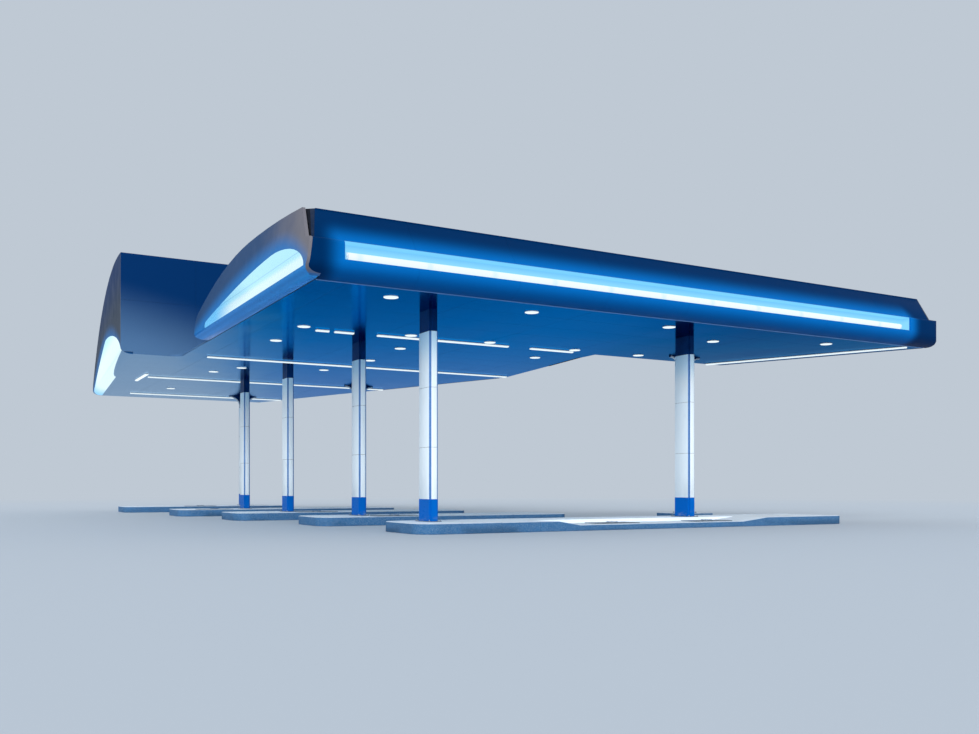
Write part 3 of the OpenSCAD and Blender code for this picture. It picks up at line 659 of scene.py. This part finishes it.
def trim_anodised(add, where, hue):
    """Anodised aluminium trim: blue grey satin metal with fine lines along its length."""
    upright = add("Mapping", {"Vector": where, "Scale": (0.05, 0.05, 1)})
    lines = add("TexNoise", upright, MM / 30, 2.0)
    tone = add("Mix", lines, darker(hue.trim, 0.7), hue.trim, **RGBA)
    return coating(add, where, tone, lines, (0.28, 0.4), metal=0.3)


def choose(*pieces):
    """Leaves only these pieces selected, in object mode, with the first one active."""
    if bpy.context.object and bpy.context.object.mode != "OBJECT":
        bpy.ops.object.mode_set(mode="OBJECT")
    bpy.ops.object.select_all(action="DESELECT")
    for piece in pieces:
        piece.select_set(True)
    if pieces:
        bpy.context.view_layer.objects.active = pieces[0]


def edit(piece):
    """Opens a piece in edit mode, alone."""
    choose(piece)
    bpy.ops.object.mode_set(mode="EDIT")
    bpy.ops.mesh.select_mode(type="FACE")


def pick(piece, test, kind="faces"):
    """Selects the faces or edges that pass a test, and raises an error if none does."""
    bpy.ops.mesh.select_mode(type="FACE" if kind == "faces" else "EDGE")
    bpy.ops.mesh.select_all(action="DESELECT")
    cage = bmesh.from_edit_mesh(piece.data)
    chosen = [part for part in getattr(cage, kind) if test(part)]
    if not chosen:
        raise RuntimeError(f"nothing to select on {piece.name}")
    for part in chosen:
        part.select_set(True)
    bmesh.update_edit_mesh(piece.data)


def on_top(face):
    """Whether a face looks up."""
    return face.normal.z > 0.9


def copy_of(name, source, *makers, whole=True):
    """A new piece from a CAD node's mesh: merged, painted, with whole faces for triangles."""
    piece = bpy.data.objects.new(name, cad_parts[source].data.copy())
    bpy.context.scene.collection.objects.link(piece)
    choose(piece)
    piece.data.materials.clear()
    bpy.ops.mesh.customdata_custom_splitnormals_clear()
    edit(piece)
    bpy.ops.mesh.select_all(action="SELECT")
    bpy.ops.mesh.remove_doubles(threshold=MERGE)
    if whole:
        bpy.ops.mesh.dissolve_limited(angle_limit=math.radians(0.2))
    paint(piece, *makers)
    return piece


def paint(piece, *makers):
    """Gives a piece its finishes; faces use the first unless assign() says another."""
    for maker in makers:
        piece.data.materials.append(finish(maker))


def assign(piece, index):
    """Gives the selected faces one of the piece's finishes."""
    piece.active_material_index = index
    bpy.ops.object.material_slot_assign()


def cut(point, normal):
    """Cuts the open piece's faces along a plane."""
    bpy.ops.mesh.select_all(action="SELECT")
    bpy.ops.mesh.bisect(plane_co=point, plane_no=normal)


def sink(depth):
    """Extrudes the selected faces inwards."""
    bpy.ops.mesh.extrude_region_shrink_fatten(
        TRANSFORM_OT_shrink_fatten={"value": -depth, "use_even_offset": True})


def lift(height):
    """Extrudes the selected faces upwards."""
    bpy.ops.mesh.extrude_region_move(TRANSFORM_OT_translate={"value": (0, 0, height)})


def inset(*rings):
    """Insets the selected faces, ring by ring; each ring has a width and a height."""
    for width, height in rings:
        bpy.ops.mesh.inset(thickness=width, depth=height)


def grooves(piece, planes, width, depth=None, finish_index=0):
    """Runs a joint round the open piece at each plane, as deep as it is wide unless told."""
    for point, normal in planes:
        for side in (-0.5, 0.5):
            cut(point + side * width * normal, normal)

    def in_joint(face):
        middle = face.calc_center_median()
        return any(abs((middle - point).dot(normal)) < width / 2 for point, normal in planes)

    pick(piece, in_joint)
    sink(depth or width)
    assign(piece, finish_index)


def steps(first, last, pitch):
    """Even places between two ends, no further apart than the pitch, without the ends."""
    count = max(1, math.ceil((last - first) / pitch))
    return [first + (last - first) * i / count for i in range(1, count)]


def across(xs):
    """Upright planes that face along x, at places from the canopy's left."""
    return [(at(x, 0), RIGHT) for x in xs]


def back_from(ys):
    """Upright planes that face along y, at places from the canopy's front."""
    return [(at(0, y), BACK) for y in ys]


def bays(source, axis, pitch):
    """Upright planes that part a CAD node evenly along x or y."""
    low, high = (plan(corner)["xy".index(axis)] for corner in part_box(source))
    return (across if axis == "x" else back_from)(steps(low, high, pitch))


def line_plane(line, inside=0.0):
    """The upright plane of a plan line, moved in by a distance; its normal points out, to +x."""
    (x, y), turn = line
    normal = Vector((math.cos(math.radians(turn)), math.sin(math.radians(turn)), 0))
    return at(x, y) - inside * normal, normal


def side_plane(inside, lean):
    """A leaning plane inside the left side's foot; its normal points out and up."""
    lean = math.radians(lean)
    normal = Vector((-math.cos(lean), 0, math.sin(lean)))
    return at(FRONT_LEFT + inside, 0, SOFFIT_Z + 0.17), normal


def rounding(piece, width, segments=2, angle=35):
    """Adds a bevel over a piece's sharp edges and gives back its name."""
    bevel = piece.modifiers.new("edges", "BEVEL")
    bevel.width = width
    bevel.segments = segments
    bevel.limit_method = "ANGLE"
    bevel.angle_limit = math.radians(angle)
    return bevel.name


def soften(width, segments=2, angle=35):
    """Rounds the open piece's sharp edges with a bevel that is applied."""
    piece = bpy.context.object
    bpy.ops.object.mode_set(mode="OBJECT")
    bpy.ops.object.modifier_apply(modifier=rounding(piece, width, segments, angle))
    edit(piece)


def settle(piece, slot, *nodes, angle=25):
    """Shades a finished piece, fixes it to the canopy and hides the solids that it stands for."""
    choose(piece)
    if angle:
        bpy.ops.object.shade_smooth_by_angle(angle=math.radians(angle))
    else:
        bpy.ops.object.shade_flat()
    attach(piece, "root")
    if nodes:
        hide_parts(*nodes)


def coat(maker, *nodes, width=0.0):
    """Gives CAD nodes a finish, and rounds their sharp edges where a width is given."""
    for name in nodes:
        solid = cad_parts[name]
        solid.data.materials.clear()
        solid.data.materials.append(finish(maker))
        if width:
            solid.modifiers.new("weld", "WELD").merge_threshold = MERGE
            rounding(solid, width)


def opened(name):
    """Names a new primitive, puts its place into its mesh and opens it in edit mode."""
    piece = bpy.context.object
    piece.name = name
    bpy.ops.object.transform_apply(location=True, rotation=True, scale=True)
    edit(piece)
    return piece


def block(name, low, high):
    """A box between two corners, open in edit mode."""
    choose()
    bpy.ops.mesh.primitive_cube_add(size=1, location=(low + high) / 2, scale=high - low)
    return opened(name)


def drum(name, middle, radius, height, sides, turn=(0, 0, 0)):
    """A cylinder, open in edit mode."""
    choose()
    bpy.ops.mesh.primitive_cylinder_add(
        vertices=sides, radius=radius, depth=height, location=middle, rotation=turn)
    return opened(name)


def trim_bar(name, low, high, rounded_z, radius):
    """A bar along x whose two long edges at one height are rounded, open in edit mode."""
    bar = block(name, low, high)

    def is_long(edge):
        near, far = (vert.co for vert in edge.verts)
        return (abs(near.z - rounded_z) < 0.001 and abs(far.z - rounded_z) < 0.001
                and abs(near.y - far.y) < 0.001)

    pick(bar, is_long, "edges")
    bpy.ops.mesh.bevel(offset=radius, segments=3)
    return bar


def spread(piece, slot, maker, radius, places):
    """Finishes a small piece that stands at the first place, and joins a copy at each other."""
    paint(piece, maker)
    soften(radius)
    pieces = [piece]
    for place in places[1:]:
        choose(piece)
        bpy.ops.object.duplicate()
        pieces.append(bpy.context.object)
        bpy.ops.transform.translate(value=place - places[0])
        bpy.ops.object.transform_apply(location=True, rotation=True, scale=True)
    choose(*pieces)
    bpy.ops.object.join()
    settle(piece, slot)


class CANOPY_OT_islands(bpy.types.Operator):
    """Adds the kerbs with their stones, the slabs with their joints, and the column pad"""

    bl_idname = "canopy.islands"
    bl_label = "Islands"

    def execute(self, context):
        sizes = context.scene.canopy_sizes
        for index in range(1, 6):
            source = f"kerb_{index}"
            piece = copy_of(f"kerb_stones_{index}", source, precast_kerb)
            soften(0.018, 3, 50)
            grooves(piece, bays(source, "x", sizes.kerb_stone), KERB_JOINT)
            settle(piece, "kerb_concrete", source)
        piece = copy_of("slabs_with_joints", "island_slabs", broomed_slab)
        grooves(piece, bays("island_slabs", "x", sizes.slab_bay), *SLAB_JOINT)
        settle(piece, "slab_concrete", "island_slabs")
        coat(precast_kerb, "column_pad", width=0.015)
        return {"FINISHED"}


class CANOPY_OT_bases(bpy.types.Operator):
    """Finishes the base plates and adds a bolted cable cover at the middle of each"""

    bl_idname = "canopy.bases"
    bl_label = "Base plates"

    def execute(self, context):
        coat(galvanised_steel, "equipment_bases", width=0.003)
        middles = [at(*spot) for spot in BASE_SPOTS]
        cover = drum("cable_cover", middles[0] + Vector((0, 0, 0.006)), 0.15, 0.012, 48)
        pick(cover, on_top)
        inset((0.02, 0.006), (0.03, 0.0), (0.01, -0.003))
        spread(cover, "base_steel", galvanised_steel, 0.002, middles)
        places = []
        for middle in middles:
            for turn in range(6):
                angle = math.radians(60 * turn)
                x, y = SCREW_CIRCLE * math.cos(angle), SCREW_CIRCLE * math.sin(angle)
                places.append(middle + Vector((x, y, 0.022)))
        screw = drum("cover_screws", places[0], 0.011, 0.01, 6)
        pick(screw, on_top)
        inset((0.003, -0.003))
        spread(screw, "base_steel", trim_anodised, 0.001, places)
        return {"FINISHED"}


class CANOPY_OT_columns(bpy.types.Operator):
    """Adds the column cladding with its joints, and finishes the cores, sleeves and collars"""

    bl_idname = "canopy.columns"
    bl_label = "Columns"

    def execute(self, context):
        for index in range(1, 9):
            source = f"column_{index}"
            piece = copy_of(
                f"column_cladding_{index}", source, column_powder_coat, joint_rubber, trim_anodised)
            low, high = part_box(source)

            def in_recess(face):
                middle = face.calc_center_median()
                inside = [min(middle[i] - low[i], high[i] - middle[i]) for i in (0, 1)]
                return any(abs(face.normal[i]) > 0.9 and RECESS[0] < inside[i] < RECESS[1]
                           for i in (0, 1))

            # Painted shade: the corner recesses take the darker blue trim finish
            pick(piece, in_recess)
            assign(piece, 2)
            soften(0.004, 2, 50)
            grooves(piece, [(at(0, 0, z), UP) for z in CLADDING_HEIGHTS], *CLADDING_JOINT, 1)
            settle(piece, "column_white", source)
        coat(primed_steel, "column_cores")
        coat(sleeve_powder_coat, "base_sleeves", width=0.004)
        coat(collar_powder_coat, "head_collars", width=0.004)
        spots = [at(*spot, SLAB_Z) for spot in COLUMN_SPOTS]
        foot = block("column_feet", spots[0] - FOOT, spots[0] + FOOT + 0.012 * UP)
        pick(foot, on_top)
        inset((0.006, 0.004))
        spread(foot, "base_steel", galvanised_steel, 0.002, spots)
        dx, dy = NUT_SPOT
        nut = drum("foot_nuts", spots[0] + Vector((dx, dy, 0.026)), 0.014, 0.02, 6)
        pick(nut, on_top)
        inset((0.005, 0.0))
        lift(0.014)
        corners = [Vector((sx * dx, sy * dy, 0)) for sx in (1, -1) for sy in (1, -1)]
        nuts = [spot + corner for spot in spots for corner in corners]
        spread(nut, "base_steel", galvanised_steel, 0.0015, nuts)
        return {"FINISHED"}


class CANOPY_OT_steel(bpy.types.Operator):
    """Adds the brackets, navy as painted shade with pale undersides as a painted highlight, and
    finishes the steel inside the wings
    """

    bl_idname = "canopy.steel"
    bl_label = "Brackets and steel"

    def rims(self):
        """Bends a flat bar, pale as a painted highlight, along the hollow edge of each bracket
        plate.
        """
        low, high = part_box("head_brackets")
        columns = [at(*COLUMN_SPOTS[index]) for index in BRACKETED]
        radius = high.z - low.z - BRACKET_EDGE
        for name, side in (("right_bracket_rims", 1), ("left_bracket_rims", -1)):
            middle = columns[0] + side * Vector((columns[0].x - low.x, 0, 0))
            middle.z = low.z
            choose()
            bpy.ops.mesh.primitive_plane_add(
                size=1, location=middle - side * Vector((radius + 0.018, 0, 0)))
            bpy.context.object.scale = (RIM_DEPTH, RIM_WIDTH, 1)
            rim = opened(name)
            bpy.ops.mesh.select_all(action="SELECT")
            bpy.ops.mesh.spin(
                steps=16, angle=-side * math.radians(88), center=middle, axis=(0, 1, 0))
            bpy.ops.mesh.select_all(action="SELECT")
            bpy.ops.mesh.remove_doubles(threshold=MERGE)
            bpy.ops.mesh.normals_make_consistent(inside=False)
            spread(rim, "bracket_pale", bracket_lacquer, 0.003, columns)

    def execute(self, context):
        # Painted shade and highlight: the plates take the collars' navy, their undersides the pale
        # finish
        piece = copy_of("bracket_plates", "head_brackets", collar_powder_coat, bracket_lacquer)
        pick(piece, lambda face: face.normal.z < -0.05 and abs(face.normal.y) < 0.5)
        assign(piece, 1)
        settle(piece, "bracket_pale", "head_brackets")
        self.rims()
        coat(primed_steel, "steel_beams", "front_ribs", "back_ribs")
        return {"FINISHED"}


class CANOPY_OT_soffit(bpy.types.Operator):
    """Adds the soffit's planks with their joints, the left trim and the lip's pale edge trim"""

    bl_idname = "canopy.soffit"
    bl_label = "Soffit"

    def execute(self, context):
        sizes = context.scene.canopy_sizes
        for source in ("soffit_front", "soffit_bar", "soffit_back"):
            (left, front), (right, back) = (plan(corner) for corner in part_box(source))
            piece = copy_of(
                source + "_planks", source, soffit_lacquer, face_composite, whole=False)
            rows = [y for y in (0.5 + sizes.plank_width * i for i in range(1, 46))
                    if front + 0.1 < y < back - 0.1]
            columns = [x for x in (sizes.plank_length * i - 0.6 for i in range(1, 8))
                       if left + 0.2 < x < right - 0.2]
            grooves(piece, back_from(rows) + across(columns), PLANK_JOINT)
            pick(piece, lambda face: abs(face.normal.z) < 0.5 and face.calc_area() > 0.002)
            assign(piece, 1)
            settle(piece, "soffit_blue", source, angle=0)
        piece = copy_of(
            "left_edge_trim", "edge_trim", undercurve_lacquer, front_cheek_composite, joint_rubber)
        grooves(piece, bays("edge_trim", "y", sizes.panel_width), PLANK_JOINT)
        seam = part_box("edge_trim")[1].x - 0.025
        cut(Vector((seam, 0, 0)), RIGHT)
        pick(piece, lambda face: face.calc_center_median().x > seam and face.normal.z < -0.5)
        assign(piece, 2)
        pick(piece, lambda face: face.normal.y < -0.3)
        assign(piece, 1)
        settle(piece, "soffit_blue", "edge_trim")
        foot, top = SOFFIT_Z - 0.012, SOFFIT_Z + 0.002
        trim = trim_bar(
            "lip_edge_trim", at(FRONT_LEFT + 0.35, 0.48, foot), at(19.85, 0.515, top), foot, 0.01)
        paint(trim, trim_anodised)
        settle(trim, "soffit_blue")
        return {"FINISHED"}


class CANOPY_OT_luminaires(bpy.types.Operator):
    """Adds the strip lights and the downlights under the soffit"""

    bl_idname = "canopy.luminaires"
    bl_label = "Soffit lights"

    def execute(self, context):
        rim = SOFFIT_Z - 0.018
        piece = copy_of("strip_lights", "soffit_strips", luminaire_metal, strip_opal)
        cut(Vector((0, 0, rim)), UP)
        pick(piece, lambda face: face.calc_center_median().z < rim)
        assign(piece, 1)
        settle(piece, "diffuser", "soffit_strips")
        piece = copy_of("downlight_fittings", "downlights", luminaire_metal, strip_opal)
        # Painted light: the bezels glow with the diffuser, though they are metal
        pick(piece, lambda face: face.normal.z < -0.3)
        assign(piece, 1)
        pick(piece, lambda face: face.normal.z < -0.9 and face.calc_area() > 0.03)
        inset((0.012, 0.0), (0.03, 0.006), (0.03, 0.003))
        settle(piece, "diffuser", "downlights")
        return {"FINISHED"}


class CANOPY_OT_fascia(bpy.types.Operator):
    """Adds the fascia's panels, its corner pieces, and the light slot with its tube"""

    bl_idname = "canopy.fascia"
    bl_label = "Front fascia"

    def execute(self, context):
        sizes = context.scene.canopy_sizes
        joints = across(steps(FRONT_LEFT, plan(CAD_HIGH)[0], sizes.panel_width))
        for source in ("fascia_upper", "fascia_lower"):
            piece = copy_of(source + "_panels", source, fascia_composite)
            soften(sizes.edge_radius)
            grooves(piece, joints, FASCIA_JOINT)
            settle(piece, "fascia_navy", source)
        foot, top = SOFFIT_Z + 1.389, SOFFIT_Z + 1.415
        trim = trim_bar(
            "fascia_top_trim", at(1.79, 0.63, foot), at(19.79, 0.7, top), top, 0.008)
        paint(trim, fascia_composite)
        settle(trim, "corner_grey")
        piece = copy_of("corner_pieces", "fascia_corners", corner_composite, joint_rubber)
        soften(0.004)
        # Painted shade: the strip of the corner pieces beside the left cheek takes the dark rubber
        # finish, as the shadow in the gap
        joint, side = side_plane(0.045, 12)
        cut(joint, side)
        pick(piece, lambda face: (face.calc_center_median() - joint).dot(side) > 0)
        assign(piece, 1)
        settle(piece, "corner_grey", "fascia_corners")
        coat(tray_enamel, "light_tray")
        piece = copy_of("opal_tube", "light_tube", tube_opal)
        settle(piece, "diffuser", "light_tube")
        low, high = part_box("light_tube")
        middle = (low + high) / 2
        start = Vector((low.x + 0.02, middle.y, middle.z))
        cap = drum("tube_end_caps", start, (high.z - low.z) / 2 + 0.003, 0.04, 48,
                   (0, math.radians(90), 0))
        pick(cap, lambda face: abs(face.normal.x) > 0.9)
        inset((0.008, 0.004))
        ends = (0 * RIGHT, Vector((high.x - low.x - 0.04, 0, 0)))
        spread(cap, "diffuser", luminaire_metal, 0.003, ends)
        return {"FINISHED"}


class CANOPY_OT_sides(bpy.types.Operator):
    """Adds the side panels with their rims and joints, and the end lights that are set into them"""

    bl_idname = "canopy.sides"
    bl_label = "Sides and end lights"

    def execute(self, context):
        sizes = context.scene.canopy_sizes
        sides = (
            ("front_cheek", front_cheek_composite), ("end_cheek", end_cheek_composite),
            ("step_cheek", end_cheek_composite), ("back_left_cheek", back_cheek_composite),
            ("back_right_cheek", end_cheek_composite))
        for source, maker in sides:
            piece = copy_of(source + "_panels", source, maker)
            grooves(piece, bays(source, "y", sizes.panel_width), sizes.joint)
            if source == "back_left_cheek":
                paint(piece, soffit_lacquer)
                pick(piece, lambda face: face.normal.z < -0.25)
                assign(piece, 1)
            settle(piece, "cheek_grey", source)
        lights = (
            ("front_lens", front_lens_opal), ("end_lens", front_lens_opal),
            ("back_left_lens", back_lens_opal), ("back_right_lens", back_lens_opal))
        for source, maker in lights:
            piece = copy_of(source + "_light", source, maker)
            if source == "end_lens":
                outwards = line_plane(END_LINE)[1]
                pick(piece, lambda face: face.normal.dot(outwards) > 0.9)
                sink(-LENS_PROUD)
            soften(sizes.edge_radius)
            settle(piece, "diffuser", source)
        return {"FINISHED"}


class CANOPY_OT_back_face(bpy.types.Operator):
    """Adds the tall front face of the back wing with its panel joints"""

    bl_idname = "canopy.back_face"
    bl_label = "Tall front face"

    def execute(self, context):
        sizes = context.scene.canopy_sizes
        piece = copy_of("tall_face_panels", "back_wing_face", face_composite)
        upright = bays("back_wing_face", "x", sizes.panel_width)
        grooves(piece, upright + [(at(0, 0, SOFFIT_Z + 1.6), UP)], sizes.joint)
        settle(piece, "face_blue", "back_wing_face")
        return {"FINISHED"}


class CANOPY_OT_roofs(bpy.types.Operator):
    """Adds the roofs' standing seam sheets and the valley between the wings"""

    bl_idname = "canopy.roofs"
    bl_label = "Roofs"

    def sheets(self, source, sizes):
        """Sinks the sheets between the seams of one roof, and leaves a flashing along its edges."""
        wing = WINGS[source]
        crown, rise, rear = wing["crown"], wing["rise"], wing["rear"]
        # The nose is a circle on the soffit's plane that runs tangent into the rear arc
        run, k = wing["back"] - crown, 2 * rear - rise
        nose = run - k + math.sqrt((k - run) ** 2 - run ** 2 + k * rise)
        nose_y = wing["back"] - nose
        turn = math.atan2(nose_y - crown, nose + rear - rise)
        touch_y = crown + rear * math.sin(turn)

        def depth(middle):
            y, z = middle.y - CAD_LOW.y, middle.z - SOFFIT_Z
            if y > touch_y or (y > nose_y and z < nose):
                return nose - math.hypot(y - nose_y, z - nose)
            radius = wing["fore"] if y < crown else rear
            return radius - math.hypot(y - crown, z - rise + radius)

        low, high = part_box(source)
        (left, front), (right, _) = plan(low), plan(high)
        piece = copy_of(source + "_sheets", source, roof_coil_coat)
        half = sizes.seam_width / 2
        first, last = math.ceil(left / sizes.seam_pitch), math.floor(right / sizes.seam_pitch)
        seams = [sizes.seam_pitch * i for i in range(first, last + 1)]
        for x in seams:
            cut(at(x - half, 0), RIGHT)
            cut(at(x + half, 0), RIGHT)
        front += LIP_FLASHING
        foot = SOFFIT_Z + LIP_FLASHING
        cut(at(0, front), BACK)
        cut(Vector((0, 0, foot)), UP)
        edges = {
            "front_roof": [
                (*side_plane(0.1, SIDE_LEAN), 0.0),
                (*line_plane(LEG_LINE, SIDE_FLASHING), BAR_BACK)],
            "bar_roof": [(*line_plane(END_LINE, SIDE_FLASHING), 0.0)],
            "back_roof": [
                (line_plane(TAPER_LINE, -SIDE_FLASHING)[0], -line_plane(TAPER_LINE)[1], 0.0),
                (*line_plane(LEG_BACK_LINE, SIDE_FLASHING), 0.0)],
        }[source]
        for point, normal, _ in edges:
            cut(point, normal)
        if source == "front_roof":
            cut(at(0, BAR_BACK), BACK)

        def is_sheet(face):
            middle = face.calc_center_median()
            x, y = plan(middle)
            in_seam = any(abs(x - seam) < half for seam in seams)
            in_flashing = y < front or middle.z < foot or any(
                (middle - point).dot(normal) > 0 and y > start for point, normal, start in edges)
            return not (depth(middle) > 0.02 or abs(face.normal.x) > 0.5 or in_seam or in_flashing)

        pick(piece, is_sheet)
        sink(sizes.seam_height)
        settle(piece, "roof_grey", source)

    def execute(self, context):
        for source in WINGS:
            self.sheets(source, context.scene.canopy_sizes)
        coat(valley_membrane, "valley_roof", width=0.01)
        low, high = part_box("valley_roof")
        start = Vector((low.x + 1.2, high.y - 1.6, high.z + 0.015))
        outlet = drum("roof_outlets", start, 0.16, 0.03, 32)
        pick(outlet, on_top)
        inset((0.05, 0.0))
        lift(0.09)
        inset((0.02, 0.01))
        places = (0 * RIGHT, OUTLET_PITCH * RIGHT)
        spread(outlet, "roof_grey", galvanised_steel, 0.004, places)
        return {"FINISHED"}


class CANOPY_OT_stage(bpy.types.Operator):
    """Adds the floor, the light and the camera"""

    bl_idname = "canopy.stage"
    bl_label = "Studio"

    def execute(self, context):
        scene = context.scene
        choose()
        bpy.ops.mesh.primitive_circle_add(vertices=96, radius=400, fill_type="NGON")
        floor = context.object
        floor.name = "studio_floor"
        pale = scene.canopy_colours.floor
        material = bpy.data.materials.new("pale_floor")
        material.use_nodes = True
        tree = material.node_tree
        add = functools.partial(node, tree)
        shader = tree.nodes["Principled BSDF"]
        fill(tree, shader, {"Base Color": pale, "Roughness": 0.9, "Specular IOR Level": 0.2})
        # Far from the canopy the floor glows like the world behind it, so no horizon shows
        reach = add("VectorMath", add("TexCoord", out="Object"), operation="LENGTH")
        glow = add("Emission", pale, 1.0)
        rays = add("LightPath").node.outputs
        seen = add("Math", rays["Is Camera Ray"], rays["Is Glossy Ray"], **MOST)
        fade = add("MapRange", reach, 22.0, 70.0, **SMOOTH)
        fade = add("Math", fade, seen, **TIMES)
        mixed = add("MixShader", fade, shader.outputs[0], glow)
        fill(tree, tree.nodes["Material Output"], {"Surface": mixed})
        floor.data.materials.append(material)

        world = bpy.data.worlds.new("studio_light")
        scene.world = world
        world.use_nodes = True
        tree = world.node_tree
        add = functools.partial(node, tree)
        rays = add("LightPath").node.outputs
        seen = add("Math", rays["Is Camera Ray"], rays["Is Transmission Ray"], **MOST)
        seen = add("Math", seen, rays["Is Glossy Ray"], **MOST)
        sky = tree.nodes["Background"]
        fill(tree, sky, {"Color": linear("#f3f9ff"), "Strength": 0.7})
        shown = add("Background", {"Color": pale, "Strength": 1.0})
        mixed = add("MixShader", seen, sky.outputs[0], shown)
        fill(tree, tree.nodes["World Output"], {"Surface": mixed})

        # A large soft light from behind the camera, low, as upright faces need it
        data = bpy.data.lights.new("studio_key", "SUN")
        data.energy = 2.8
        data.angle = math.radians(50)
        key = bpy.data.objects.new("studio_key", data)
        scene.collection.objects.link(key)
        key.rotation_euler = (math.radians(70), 0, math.radians(-35))

        data = bpy.data.cameras.new("camera")
        data.sensor_width = 36
        data.lens = FOCAL_LENGTH / PICTURE_WIDTH * 36
        data.shift_y = (HORIZON - MIDDLE_ROW) / PICTURE_WIDTH
        data.clip_end = 1000
        camera = bpy.data.objects.new("camera", data)
        scene.collection.objects.link(camera)
        camera.location = at(-4.3, -17.0, 0.979)
        camera.rotation_euler = (math.radians(90), 0, math.radians(60.522 - 90))
        scene.camera = camera
        scene.view_settings.view_transform = "Standard"
        return {"FINISHED"}


STEPS = (
    CANOPY_OT_islands, CANOPY_OT_bases, CANOPY_OT_columns, CANOPY_OT_steel, CANOPY_OT_soffit,
    CANOPY_OT_luminaires, CANOPY_OT_fascia, CANOPY_OT_sides, CANOPY_OT_back_face,
    CANOPY_OT_roofs, CANOPY_OT_stage,
)


class CANOPY_PT_sidebar(bpy.types.Panel):
    """Lists the canopy's pieces and their settings"""

    bl_idname = "CANOPY_PT_sidebar"
    bl_label = "Canopy"
    bl_space_type = "VIEW_3D"
    bl_region_type = "UI"
    bl_category = "Canopy"

    def draw(self, context):
        layout = self.layout
        for step in STEPS:
            layout.operator(step.bl_idname)
        for group in (context.scene.canopy_sizes, context.scene.canopy_colours):
            box = layout.box()
            for name in group.__annotations__:
                box.prop(group, name)


CLASSES = (CanopySizes, CanopyColours, *STEPS, CANOPY_PT_sidebar)


def register():
    for one in CLASSES:
        bpy.utils.register_class(one)
    bpy.types.Scene.canopy_sizes = PointerProperty(type=CanopySizes)
    bpy.types.Scene.canopy_colours = PointerProperty(type=CanopyColours)


def unregister():
    del bpy.types.Scene.canopy_colours
    del bpy.types.Scene.canopy_sizes
    for one in reversed(CLASSES):
        bpy.utils.unregister_class(one)


def main():
    """Builds the canopy piece by piece."""
    register()
    bpy.ops.canopy.islands()
    bpy.ops.canopy.bases()
    bpy.ops.canopy.columns()
    bpy.ops.canopy.steel()
    bpy.ops.canopy.soffit()
    bpy.ops.canopy.luminaires()
    bpy.ops.canopy.fascia()
    bpy.ops.canopy.sides()
    bpy.ops.canopy.back_face()
    bpy.ops.canopy.roofs()
    bpy.ops.canopy.stage()


if __name__ == "__main__":
    main()
